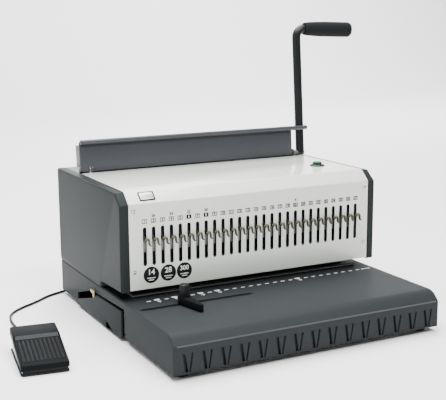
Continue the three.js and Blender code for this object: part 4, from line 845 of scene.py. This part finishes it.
def makeSleeves(size):  # black sheet lining each slot: painted shade over the lit inner walls of the slots
    thick, low, high = size["sleeve"], size["slotLow"] - 0.05, size["slotHigh"] + 0.05
    wide = size["slotWide"] + 0.1
    sleeve = framePrism("sleeve", slotOutline(0, wide, low, high),
                        slotOutline(0, wide - 2 * thick, low + thick, high - thick), size["sleeveY"], "y")
    return hookRow("slot_edges", sleeve)


dressed(makeFrontCover(coverSize), "creamPaint", "machine", ["front_cover"])
dressed(makeSleeves(coverSize), "stickerBlack", "machine")

screwSize = {"head": 3.2, "headHigh": 1.7, "shank": 1.5, "length": 8, "sunk": 0.3,
             "cross": 2.1, "crossLong": 3.8, "crossDeep": 1.6}


def makeScrews(size, cover):
    head, high = size["head"], size["headHigh"]
    profile = [(0, -size["length"]), (size["shank"], -size["length"]), (size["shank"], 0), (head, 0),
               (head, high * 0.35), (head * 0.9, high * 0.7), (head * 0.66, high * 0.93), (0, high)]
    screw = spun("screw", profile, 24)
    wide, long, deep = size["cross"] / 2, size["crossLong"] / 2, high - size["crossDeep"]
    screw = carved(screw, *(brick("cross", (-a, a), (-b, b), (deep, high + past))
                            for a, b in ((wide, long), (long, wide))))
    moved(screw, Matrix.Translation((0, -size["sunk"], 0)) @ towardsFront)
    return atScrews("panel_screws", screw, cover)


dressed(makeScrews(screwSize, coverSize), "brightSteel", "machine",
        ["panel_screw_top_left", "panel_screw_bottom_left",
         "panel_screw_top_right", "panel_screw_bottom_right"])
print("stage: covers")


# Rear cover with vents, and the mains inlet in it

rearSize = {
    "front": 217.3, "top": 222, "rear": 287.5, "low": 62.3, "sheet": 1.5, "bend": 3,
    "ventCount": 12, "ventPitch": 9, "ventWide": 3, "ventLow": 150, "ventHigh": 190, "ventX": 60,
    "inletX": -150, "inletZ": 100, "inletWide": 28.6, "inletTall": 21.6, "inletReach": 3,
}


def makeRearCover(size, half):
    line = [(size["rear"], size["low"]), (size["rear"], size["top"]), (size["front"], size["top"])]
    cover = prism("rear_panel", bentSheet(line, -size["sheet"], size["bend"], 5), (-half, half))
    vent = prism("vent", slotOutline(0, size["ventWide"], size["ventLow"], size["ventHigh"]),
                 (size["rear"] - size["sheet"] - past, size["rear"] + past), "y")
    wide, tall, reach = size["inletWide"] / 2, size["inletTall"] / 2, size["inletReach"]
    return carved(
        cover,
        row("vents", vent, size["ventCount"], (size["ventX"], 0, 0), (size["ventPitch"], 0, 0)),
        brick("inlet cut", (size["inletX"] - wide, size["inletX"] + wide),
              (size["rear"] - reach, size["rear"] + reach), (size["inletZ"] - tall, size["inletZ"] + tall)),
    )


dressed(makeRearCover(rearSize, coverSize["half"]), "bluePaint", "machine", ["rear_cover"])

inletSize = {"flange": (40, 26), "sheet": 2.5, "body": (28, 21), "deep": 24, "mouth": (24, 16.5),
             "mouthDeep": 15, "blade": (2, 8.5, 4), "bladeFoot": 0.5, "spread": 7}


def plateOf(name, wide, tall, ys, radius):
    return prism(name, rounded(oblong(wide / 2, tall / 2), radius, 5), ys, "y")


def makeInlet(size):
    flange = softened(plateOf("inlet_socket", *size["flange"], (0.3, size["sheet"]), 3), 0.4, angle=50)
    body = welded(flange, plateOf("body", *size["body"], (-size["deep"], size["sheet"] / 2), 1.5))
    mouth = plateOf("mouth", *size["mouth"], (size["sheet"] - size["mouthDeep"], size["sheet"] + past), 2.5)
    return carved(body, mouth)


def makeBlades(size):
    thick, long, tall = size["blade"]
    start = size["sheet"] - size["mouthDeep"] - size["bladeFoot"]
    blades = []
    for x, z in ((-size["spread"], -tall / 2), (size["spread"], -tall / 2), (0, tall / 2)):
        blade = brick("blade", (x - thick / 2, x + thick / 2), (start, start + long),
                      (z - tall / 2, z + tall / 2))
        blades.append(softened(blade, 0.4))
    return gathered("inlet_blades", blades)


inletPlace = Matrix.Translation((rearSize["inletX"], rearSize["rear"], rearSize["inletZ"]))
dressed(makeInlet(inletSize), "blackPlastic", "machine", ["mains_inlet"], inletPlace)
dressed(makeBlades(inletSize), "brass", "machine", (), inletPlace)


# Power button

buttonSize = {"bezel": 12.5, "high": 2.6, "barrel": 10, "deep": 11.4, "gap": 0.3,
              "cap": 7.5, "capHigh": 6.8, "capDeep": 10.4}


def makeButton(size, cover):
    place = Matrix.Translation((cover["buttonX"], cover["buttonY"], cover["top"]))
    bezel, bore, high = size["bezel"], size["cap"] + size["gap"], size["high"]
    barrel, foot = size["barrel"], -size["deep"]
    ring = [(bore, foot), (barrel, foot), (barrel, 0.3), (bezel, 0.3), (bezel, 1), (bezel - 0.5, 1.6),
            (bezel - 2.6, high), (bore + 0.7, high), (bore, high - 0.7), (bore, foot)]
    dressed(spun("button_ring", ring, 48), "blackPlastic", "machine", ["button_bezel"],
            place)
    cap, top = size["cap"], size["capHigh"]
    body = [(0, -size["capDeep"]), (cap, -size["capDeep"]), (cap, top - 1.2), (cap - 0.3, top - 0.5),
            (cap - 1.1, top), (cap * 0.6, top - 0.35), (0, top - 0.6)]
    dressed(spun("button_cap", body, 40), "greenPlastic", "button", ["power_button"],
            place)


makeButton(buttonSize, coverSize)
print("stage: rear and button")


# Hooks pressed from one plate, in a row of one pattern. Each arm arches over its slot and droops to a tip.

hookSize = {
    "sheet": 2.5, "plate": (3.5, 6), "plateHalf": 187.2, "plateLow": 133, "plateTop": 151,
    "web": [(5, 150.3), (5, 165.5), (3.4, 165.5), (1.6, 158.2), (-0.6, 156.2), (-6.4, 155.4), (-6.4, 150.3)],
    "webRound": [0, 0, 0.5, 1.5, 1.5, 1.5, 0.8], "arm": -7.1, "flat": 1.6, "armSteps": 5,
    "armLine": [(-2.8, 152.6, 1.2), (-1, 154.2, 1.7), (1.4, 154.7, 1.9), (3.3, 153.1, 1.8), (4, 150.2, 1.65),
                (4.3, 147.4, 1.6), (5.3, 145.1, 1.3), (7.4, 144.3, 0.9)],
}


def smoothLine(points, steps):  # a curve through points of any length, each stretch cut in steps
    ends = [points[0], *points, points[-1]]
    result = []
    for before, here, after, later in zip(ends, ends[1:], ends[2:], ends[3:]):
        for step in range(steps):
            t = step / steps
            weights = (((2 - t) * t - 1) * t, (3 * t - 5) * t * t + 2,
                       ((4 - 3 * t) * t + 1) * t, (t - 1) * t * t)
            result.append(tuple(sum(w * value for w, value in zip(weights, column)) / 2
                                for column in zip(before, here, after, later)))
    return [*result, points[-1]]


def makeHooks(size):
    line = smoothLine(size["armLine"], size["armSteps"])
    arm = swept("arm", [(x, 0, z) for x, z, _ in line], [radius for _, _, radius in line], 16)
    moved(arm, Matrix.Translation((0, size["arm"], 0)) @ Matrix.Scale(size["flat"], 4, (0, 1, 0)))
    return hookRow("comb_hooks", arm, "goldZinc")


# The webs belong to the hooks' own plate but get glossy black paint: painted shade inside the slots
def makeWebs(size):
    half = size["sheet"] / 2
    web = prism("web", rounded(size["web"], size["webRound"], 4)[::-1], (-half, half))
    return hookRow("hook_webs", softened(web, 0.5, angle=50), "blackPaint")


hookPlate = softened(brick("hook_plate", (-hookSize["plateHalf"], hookSize["plateHalf"]), hookSize["plate"],
                           (hookSize["plateLow"], hookSize["plateTop"])), 0.5)
dressed(makeHooks(hookSize), "goldZinc", "hook_slide", ["hook_comb"])
dressed(makeWebs(hookSize), "blackPaint", "hook_slide")
dressed(hookPlate, "hookSteel", "hook_slide")
print("stage: hooks")


# Lever: bent tube, foam grip, flap and the rod in its hem, in the leaning frame of the lever

leverSize = {"x": 209.3, "foot": -0.5, "radius": 7.6, "high": 221.7, "bend": 15.5, "bendSteps": 12,
             "end": 318}


def makeTube(size):
    x, high, bend = size["x"], size["high"], size["bend"]
    path = [(x, 0, size["foot"]), (x, 0, (high - bend) * 0.5)]
    for step in range(size["bendSteps"] + 1):
        angle = math.pi / 2 * step / size["bendSteps"]
        path.append((x + bend * (1 - math.cos(angle)), 0, high - bend + bend * math.sin(angle)))
    path.append((size["end"], 0, high))
    return swept("lever_arm", path, [size["radius"]] * len(path), 28)


dressed(makeTube(leverSize), "blackPaint", "lever", ["lever_tube"], toLever)

gripSize = {"start": 225.3, "long": 98.5, "bore": 7.8, "collar": 10.8, "radius": 13.6, "capLine": 7,
            "capDeep": 9, "droop": 1.6}


def makeGrip(size):
    bore, collar, radius, long = size["bore"], size["collar"], size["radius"], size["long"]
    line, inside = long - size["capLine"], long - size["capDeep"]
    profile = [(bore, 1), (bore + 0.8, 0), (collar - 0.8, 0), (collar, 0.8), (collar + 0.5, 4.4),
               (collar - 0.2, 5), (collar + 0.9, 5.8), (collar + 1.6, 13), (radius - 0.5, 26),
               (radius - 0.1, 45), (radius, 70), (radius - 0.1, line - 0.6), (radius - 0.7, line),
               (radius - 0.1, line + 0.6), (radius - 0.1, long - 4), (radius - 0.9, long - 1.6),
               (radius - 3, long - 0.3), (radius - 5, long), (radius - 5.4, long - 0.5), (0, long - 0.5),
               (0, inside), (bore, inside), (bore, 1)]
    place = Matrix.Translation((size["start"], 0, leverSize["high"]))
    return moved(spun("lever_handle", profile, 40),
                 place @ Matrix.Rotation(math.radians(size["droop"]), 4, "Y") @ alongX)


dressed(makeGrip(gripSize), "foam", "lever", ["lever_grip"], toLever)

flapSize = {
    "left": -211, "right": 188, "face": -7, "sheet": 1.5, "low": -2.5, "top": 45.3, "flange": 20,
    "flangeLow": 5.1, "flangeTop": 40, "flangeGap": 4, "sideClear": -209.8, "bend": 2.5,
    "lugX": (-196.5, -189.5), "lugRadius": 8.4,
    "rodY": -11.1, "rodZ": 45.3, "rodRadius": 3.8, "rodEnd": 219,
}


def makeFlap(size):
    face, sheet = size["face"], size["sheet"]
    line = [(size["left"], face + size["flange"]), (size["left"], face), (size["right"], face)]
    flap = prism("back_flap", bentSheet(line, -sheet, size["bend"], 5), (size["low"], size["top"]), "z")
    outside, behind = size["left"] - past, face + size["flange"] + past
    xs, ys = (outside, size["left"] + sheet + past), (face + size["flangeGap"], behind)
    foot = (size["low"] - past, size["flangeLow"])
    flap = carved(flap, moved(plug("lug clear", size["lugRadius"], *size["lugX"], 32), alongX),
                  brick("flange foot", xs, ys, foot),
                  brick("corner", (outside, size["sideClear"]), (face - sheet - past, face + 5), foot),
                  brick("flange top", xs, ys, (size["flangeTop"], size["top"] + past)))
    return softened(flap, 0.3, angle=60)


def makeRod(size):
    radius, end, left = size["rodRadius"], size["rodEnd"], size["left"]
    profile = [(0, left), (radius - 0.6, left), (radius, left + 0.6), (radius, end - 2.4),
               (radius * 0.86, end - 1.1), (radius * 0.5, end - 0.2), (0, end)]
    return moved(spun("flap_hem", profile, 24),
                 Matrix.Translation((0, size["rodY"], size["rodZ"])) @ alongX)


dressed(makeFlap(flapSize), "bluePaint", "lever", ["rear_flap"], toLever)
dressed(makeRod(flapSize), "bluePaint", "lever", ["flap_rod"], toLever)
print("stage: lever")


# Chip drawer with its notched panel, and the catch

drawerSize = {
    "outer": -222.4975, "sheet": 3, "round": 1.2,
    "panel": [(10, 3.5), (46, 3.5), (65, 12.5), (73, 12.5), (73, 3.5), (212, 3.5), (206, 14.4),
              (139.3, 32.6), (117, 43.4), (10, 46.2)],
    "corner": [1.5, 1, 3, 3, 0.6, 1.5, 4, 8, 6, 1.5],
    "tray": (20, 118, 9.8, 33.8), "trayEnd": 160.4975, "trayWall": 1.5, "joint": 0.5,
    "catch": (119, 135), "catchTop": 50, "catchHigh": 6, "catchReach": 2.5, "footLong": 6, "footDrop": 5,
    "catchCorner": [2, 1, 1, 1, 2.5, 2.5],
}


def makeDrawer(size):
    outer, sheet, wall = size["outer"], size["sheet"], size["trayWall"]
    panel = prism("chip_box", rounded(size["panel"], size["corner"], 3), (outer, outer + sheet))
    rimRounded(panel, lambda place: abs(place.x - outer) < nearly, size["round"], 2)
    front, rear, low, high = size["tray"]
    start = outer + sheet - size["joint"]
    tray = carved(brick("tray", (start, size["trayEnd"]), (front, rear), (low, high)),
                  brick("tray room", (outer + sheet + wall, size["trayEnd"] - wall),
                        (front + wall, rear - wall), (low + wall, high + past)))
    return welded(panel, tray)


def makeCatch(size):
    xs = (size["outer"] - size["catchReach"], size["outer"] - 0.3)
    front, rear = size["catch"]
    top = size["catchTop"]
    lower = top - size["catchHigh"]
    foot, toe = lower - size["footDrop"], front + size["footLong"]
    corners = [(front, top), (front, foot), (toe, foot), (toe, lower), (rear, lower), (rear, top)]
    return softened(prism("box_catch", rounded(corners, size["catchCorner"], 4), xs), 0.7, angle=50)


dressed(makeDrawer(drawerSize), "greyPlastic", "drawer", ["chip_drawer"])
dressed(makeCatch(drawerSize), "brass", "drawer", ["drawer_catch"])


# Edge guide and its ribbed knob

guideSize = {
    "x": -144, "y": -45, "floor": 62.3, "seat": 66.5, "top": 73.6, "bore": 8.1, "hole": 1.9,
    "plan": [(-152.6, -36.4), (-152.6, -51), (-142.75, -94), (-137.25, -94), (-135.4, -51), (-135.4, -36.4)],
    "corner": [4, 5, 0.6, 0.6, 5, 4],
    "knobLow": 66.8, "knobHigh": 92, "knobCap": 9, "knob": 7.5, "ribs": 12, "rib": 1.15,
}


def makeGuide(size):
    floor = size["floor"]
    guide = prism("side_guide", rounded(size["plan"], size["corner"], 5), (floor, size["top"]), "z")
    softened(guide, 0.6, angle=45)
    bores = [plug("bore", size["hole"], floor - 5 * past, size["seat"] + past, 40),
             plug("bore", size["bore"], size["seat"], size["top"] + 5 * past, 40)]
    for bore in bores:
        moved(bore, Matrix.Translation((size["x"], size["y"], 0)))
    return carved(guide, *bores)


def makeKnob(size):
    place = Matrix.Translation((size["x"], size["y"], 0))
    radius, low, high, rib = size["knob"] - 0.7, size["knobLow"], size["knobHigh"], size["rib"]
    bore, inside = size["hole"], high - size["knobCap"]
    body = spun("knob body", [(bore, low), (radius, low), (radius, high - 1.2), (radius - 1.2, high),
                              (radius - 2.4, high), (radius - 3.2, high - 0.8), (0, high - 0.8),
                              (0, inside), (bore, inside), (bore, low)], 36)
    bar = spun("bar", [(0, low + 0.6), (rib * 0.8, low + 0.7), (rib, low + 1.2), (rib, high - 2.4),
                       (rib * 0.7, high - 1.4), (0, high - 1)], 8)
    ribs = grown("ribs", ringTree, {"Pattern": bar, "Count": size["ribs"], "Radius": size["knob"] - rib,
                                    "Pitch": 2 * math.pi / size["ribs"], "Finish": finishes["blackPlastic"]})
    return moved(gathered("clamp_knob", [body, ribs]), place)


dressed(makeGuide(guideSize), "pedalPlastic", "guide", ["edge_guide"])
dressed(makeKnob(guideSize), "blackPaint", "knob", ["guide_knob"])
print("stage: drawer and guide")


# Foot pedal: ribbed cover over a zinc pan on a rubber mat

pedalSize = {
    "place": (1, 2, 0), "half": 33.1, "long": 58.3, "mat": 2, "matRound": 5, "wall": 2, "roof": 2.5,
    "round": 3,
    "top": [(58.3, 29), (57.3, 34.5), (19.5, 32), (13.5, 27), (-53, 16.5), (-58.3, 14.5)],
    "skirt": 8, "frontLow": 5.9, "corner": [2, 2, 2.5, 2, 3, 2],
    "ribs": 10, "ribPitch": 5.9, "ribWide": 2.7, "ribHigh": 1, "ribSunk": 0.6, "ribFrom": 11, "ribTo": -50,
    "lip": ((-30.6, 30.6), (-55.4, -54.4), (1.9, 9)),
    "band": [(19, 31.8), (14.1, 27.72), (14.3, 27.3), (19.2, 31.4)],
    "bandHalf": 30, "gland": (6, 59, 9), "glandRadius": 4.2, "glandLong": 7,
}
toCover = toPedal @ Matrix.Translation(pedalSize["place"])


def heightOn(line, y):  # height at y of a line of points that runs to the front
    for (rear, high), (front, low) in zip(line, line[1:]):
        if front <= y <= rear:
            return low + (high - low) * (y - front) / (rear - front)
    return 0


def makePedalCover(size):
    top, half, wall, long = size["top"], size["half"], size["wall"], size["long"]
    lower = [(y, z - size["skirt"]) for y, z in top[:-1]][::-1]
    bends = [0, *[1] * (len(lower) - 1), 0, *size["corner"]]
    cover = prism("pedal_top", rounded([(-long, size["frontLow"]), *lower, *top], bends, 3), (-half, half))

    def outerRim(place):  # the side rims over the top and down both ends, not along the skirt's foot
        onTop = place.z > heightOn(top, place.y) - 2
        return abs(abs(place.x) - half) < nearly and (abs(place.y) > long - nearly or onTop)

    rimRounded(cover, outerRim, size["round"], 5)
    limit = long - wall
    roof = [(max(-limit, min(limit, y)), z - size["roof"]) for y, z in top]
    room = [(-limit, -past), (limit, -past), *roof]
    return carved(cover, prism("pedal room", room, (-half + wall, half - wall)))


def makeRibs(size):
    slope = math.atan2(size["top"][3][1] - size["top"][4][1], size["top"][3][0] - size["top"][4][0])
    long = (size["ribFrom"] - size["ribTo"]) / math.cos(slope)
    wide = size["ribWide"] / 2
    outline = rounded([(-wide, 0), (wide, 0), (wide, long), (-wide, long)], wide - 0.05, 4)
    rib = softened(prism("rib", outline, (-size["ribSunk"], size["ribHigh"]), "z"), 0.5, angle=50)
    level = size["top"][4][1] + (size["ribTo"] - size["top"][4][0]) * math.tan(slope)
    moved(rib, Matrix.Translation((0, size["ribTo"], level)) @ Matrix.Rotation(slope, 4, "X"))
    span = size["ribPitch"] * (size["ribs"] - 1)
    return row("tread", rib, size["ribs"], (-span / 2, 0, 0), (size["ribPitch"], 0, 0), "treadPlastic")


def makeMat(size):
    half, long = size["half"], size["long"]
    outline = rounded(oblong(half, long), size["matRound"], 5)
    mat = softened(prism("pedal_sole", outline, (0, size["mat"]), "z"), 0.5, angle=50)
    return welded(mat, brick("lip", *size["lip"]))


def makePedalGland(size):
    radius, long = size["glandRadius"], size["glandLong"]
    profile = [(0, -4.2), (3, -4.2), (3, 0.3), (radius, 0.3), (radius, 2), (radius - 0.5, 2.6),
               (3.3, 3.2), (3.5, 4), (3.1, 4.8), (3.3, 5.6), (3, long - 0.3), (2.6, long), (0, long)]
    return moved(spun("pedal_sleeve", profile, 24), Matrix.Translation(size["gland"]) @ alongY)


dressed(makePedalCover(pedalSize), "pedalPlastic", "pedal_lid", ["pedal_cover"], toCover)
# The ribs below are a lighter copy of the cover's plastic: a painted highlight
dressed(makeRibs(pedalSize), "treadPlastic", "pedal_lid", (), toCover)
# The band below is a painted highlight where the sloping face catches the light
dressed(prism("pedal_band", pedalSize["band"], (-pedalSize["bandHalf"], pedalSize["bandHalf"])),
        "bandPlastic", "pedal_lid", (), toCover)
dressed(makeMat(pedalSize), "rubber", "machine", ["pedal_mat"], toCover)
dressed(makePedalGland(pedalSize), "rubber", "machine", ["pedal_gland"], toPedal)
print("stage: pedal")


# Marks printed on the deck, boxes and numbers over the slots, round labels and a plain badge

markSize = {
    "deck": 62, "high": 0.12, "sunk": 0.1, "dashY": -10, "dash": (6.6, 2.6), "dashRound": 0.7,
    "endMark": (193, 210), "widths": (2, 4, 7, 9, 19),
    "widthMarks": ((4.4, -8.6, -4.4), (3, -17.4, -15.2), (0.6, -21, -13)),
    "boxZ": 180.2, "box": (8, 6.4), "fill": (0.6, 0.2, 1.3), "line": 1.05, "digit": 5.4, "weight": 0.27,
    "proud": 0.06, "filled": (6, 8, 19), "titled": (2, 4, 6, 8, 19), "title": 5.6, "titleZ": 187.6,
    "labels": ((-176.5, "14", 11.5), (-149, "28", 11.5), (-122.8, "300", 9.8)), "labelZ": 98.8,
    "labelRadius": 12.5, "labelRise": 4, "labelProud": 0.2, "fillProud": 0.18,
    "bars": ((13.5, -5.2), (8.5, -8.4)), "barHigh": 1.3, "barY": (-0.25, -0.15),
    "badge": (-190.5, -165.6, 4.2, 20.8), "badgeRound": 1.5, "badgeFace": (0.84, 0.76),
}


def lettering(text, high, deep, weight):
    curve = bpy.data.curves.new("text", "FONT")
    curve.body = text
    curve.size = high
    curve.align_x = "CENTER"
    curve.align_y = "CENTER"
    curve.extrude = deep
    curve.offset = weight
    curve.resolution_u = 3
    source = newPiece("text", curve)
    bpy.context.view_layer.update()
    mesh = bpy.data.meshes.new_from_object(source.evaluated_get(bpy.context.evaluated_depsgraph_get()))
    dropped(source)
    return newPiece("text", mesh)


def onPanel(x, z, proud=0.0):
    return Matrix.Translation((x, -proud, z)) @ towardsFront


def openBox(wide, tall, line, deep):
    return framePrism("box", oblong(wide / 2, tall / 2), oblong(wide / 2 - line, tall / 2 - line),
                      (-deep, 0.05), "y")


def makeSlotNumbers(size):
    count, deep = coverSize["hookCount"], size["high"] / 2
    box = openBox(*size["box"], size["line"], size["high"])
    pieces = [hookRow("boxes", box, "greyPrint", z=size["boxZ"])]
    for number in range(1, count + 1):
        for shown, text, high, z in ((number not in size["filled"], number, size["digit"], size["boxZ"]),
                                     (number in size["titled"], count + 1 - number, size["title"],
                                      size["titleZ"])):
            if shown:
                digits = lettering(str(text), high, deep, size["weight"])
                pieces.append(moved(digits, onPanel(slotX(number), z, size["proud"])))
    return gathered("slot_numbers", pieces)


def makeFilledBoxes(size):
    (wide, tall), (less, lower, thick) = size["box"], size["fill"]
    pieces = []
    for number in size["filled"]:
        fill = plateOf("fill", wide - less, tall - lower, (-size["high"] * thick, 0.05), 0.6)
        pieces.append(moved(fill, Matrix.Translation((slotX(number), 0, size["boxZ"]))))
    return gathered("slot_marks", pieces)


def makeDeckMarks(size):
    wide, deep = size["dash"]
    zs = (size["deck"] - size["sunk"], size["deck"] + size["high"])
    dash = prism("dash", rounded(oblong(wide / 2, deep / 2), size["dashRound"], 3), zs, "z")
    pieces = [hookRow("dashes", dash, "whitePrint", y=size["dashY"])]
    for number in size["widths"]:  # a block and two short lines at each of the usual widths
        x = slotX(number)
        for half, front, rear in size["widthMarks"]:
            pieces.append(brick("mark", (x - half, x + half), (front, rear), zs))
    ys = (size["dashY"] - deep / 2, size["dashY"] + deep / 2)
    pieces.append(brick("end mark", size["endMark"], ys, zs))
    return gathered("deck_marks", pieces)


dressed(makeSlotNumbers(markSize), "greyPrint", "machine")
dressed(makeFilledBoxes(markSize), "stickerBlack", "machine")
dressed(makeDeckMarks(markSize), "whitePrint", "machine")


def makeLabels(size):
    radius = size["labelRadius"]
    disc = [(0, 0), (radius, 0), (radius, 0.1), (radius - 0.15, 0.16), (0, 0.16)]
    discs, numbers = [], []
    for x, text, high in size["labels"]:
        discs.append(moved(spun("disc", disc, 48), onPanel(x, size["labelZ"])))
        place = onPanel(x, size["labelZ"] + size["labelRise"], size["labelProud"])
        numbers.append(moved(lettering(text, high, 0.05, 0.25), place))
        for wide, drop in size["bars"]:
            low = size["labelZ"] + drop
            numbers.append(brick("bar", (x - wide / 2, x + wide / 2), size["barY"],
                                 (low, low + size["barHigh"])))
    dressed(gathered("round_labels", discs), "stickerBlack", "machine")
    for number in size["filled"]:
        place = onPanel(slotX(number), size["boxZ"], size["fillProud"])
        numbers.append(moved(lettering(str(number), size["digit"], 0.05, 0.1), place))
    dressed(gathered("label_numbers", numbers), "whitePrint", "machine")


def makeBadge(size, cover):
    left, right, start, end = size["badge"]
    rise = math.atan2(cover["top"] - cover["knee"], cover["chamferY"])
    place = (Matrix.Translation(((left + right) / 2, 0, cover["knee"]))
             @ Matrix.Rotation(rise, 4, "X") @ Matrix.Translation((0, (start + end) / 2, 0)))
    outer = rounded(oblong((right - left) / 2, (end - start) / 2), size["badgeRound"], 5)
    rim = softened(prism("badge_frame", outer, (-0.1, 0.9), "z"), 0.3, angle=50)
    inner = [(a * size["badgeFace"][0], b * size["badgeFace"][1]) for a, b in outer]
    face = softened(prism("badge_plate", inner, (0.5, 1.15), "z"), 0.25, angle=50)
    dressed(rim, "stickerBlack", "machine", (), place)
    dressed(face, "platePlain", "machine", (), place)


makeLabels(markSize)
makeBadge(markSize, coverSize)
print("stage: marks")


# The CAD nodes that stay get the finish of their slot, except a few that are darkened as painted shade

# The frames get the flap's dark blue so their lug under the flap reads dark, and the opener bar gets
# near-black plastic in place of its steel: painted shade under the flap and in the slots
shadedNodeFinishes = {"left_frame": "bluePaint", "right_frame": "bluePaint", "opener_bar": "blackPlastic"}


def finishOfSlot(slotName):  # cream_paint has the finish creamPaint
    first, *others = slotName.split("_")
    return first + "".join(word.title() for word in others)


for part in frame["record"]["subparts"]:
    node = nodes[part["node"]]
    if not node.hide_render:
        finish = shadedNodeFinishes.get(part["node"], finishOfSlot(part["material_slot"]))
        for holder in node.material_slots:
            holder.material = finishes[finish]
print("stage: CAD nodes painted")


# Studio: a pale floor that curves up behind, and soft lights

studioSize = {"near": -6, "far": 3.2, "side": 7, "curve": 1.4, "wall": 5, "steps": 12, "floor": -0.0004,
              "paper": 0.95, "paperRoughness": 0.9, "air": 0.14}
lightSizes = [
    {"name": "top", "place": (-0.2, 0.35, 2.2), "target": (0, 0.1, 0.1), "size": (2.6, 1.8), "power": 200},
    {"name": "left", "place": (-2.4, -0.5, 1.0), "target": (0, 0, 0.15), "size": (1.6, 1.4), "power": 12},
    {"name": "front", "place": (0.5, -2.0, 2.5), "target": (0, 0, 0.15), "size": (1.4, 0.9), "power": 92},
    {"name": "wall", "place": (1.9, 1.6, 2.6), "target": (2.4, 4.4, 1.2), "size": (3.2, 1.2), "power": 330},
]


def makeStudio(size):
    profile = [(size["near"], size["floor"])]
    for step in range(size["steps"] + 1):
        angle = math.pi / 2 * step / size["steps"]
        profile.append((size["far"] + size["curve"] * math.sin(angle),
                        size["floor"] + size["curve"] * (1 - math.cos(angle))))
    profile.append((size["far"] + size["curve"], size["wall"]))
    shape = bmesh.new()
    rings = [[shape.verts.new((x, y, z)) for y, z in profile] for x in (-size["side"], size["side"])]
    for k in range(len(profile) - 1):
        shape.faces.new((rings[0][k], rings[1][k], rings[1][k + 1], rings[0][k + 1]))
    mesh = bpy.data.meshes.new("studio")
    shape.to_mesh(mesh)
    shape.free()
    sweep = newPiece("studio", mesh)
    paper = bpy.data.materials.new("paper")
    paper.use_nodes = True
    sockets = paper.node_tree.nodes["Principled BSDF"].inputs
    sockets["Base Color"].default_value = (*[size["paper"]] * 3, 1)
    sockets["Roughness"].default_value = size["paperRoughness"]
    mesh.materials.append(paper)
    mesh.shade_smooth()


def makeLight(size):
    data = bpy.data.lights.new(size["name"], "AREA")
    data.shape = "RECTANGLE"
    data.size, data.size_y = size["size"]
    data.energy = size["power"]
    light = bpy.data.objects.new(size["name"], data)
    bpy.context.scene.collection.objects.link(light)
    aim = Vector(size["target"]) - Vector(size["place"])
    turn = aim.to_track_quat("-Z", "Y").to_matrix().to_4x4()
    light.matrix_world = Matrix.Translation(size["place"]) @ turn


makeStudio(studioSize)
for size in lightSizes:
    makeLight(size)
world = bpy.data.worlds.new("studio air")
world.use_nodes = True
background = world.node_tree.nodes["Background"].inputs
background["Color"].default_value = (1, 1, 1, 1)
background["Strength"].default_value = studioSize["air"]
bpy.context.scene.world = world
print("stage: studio")
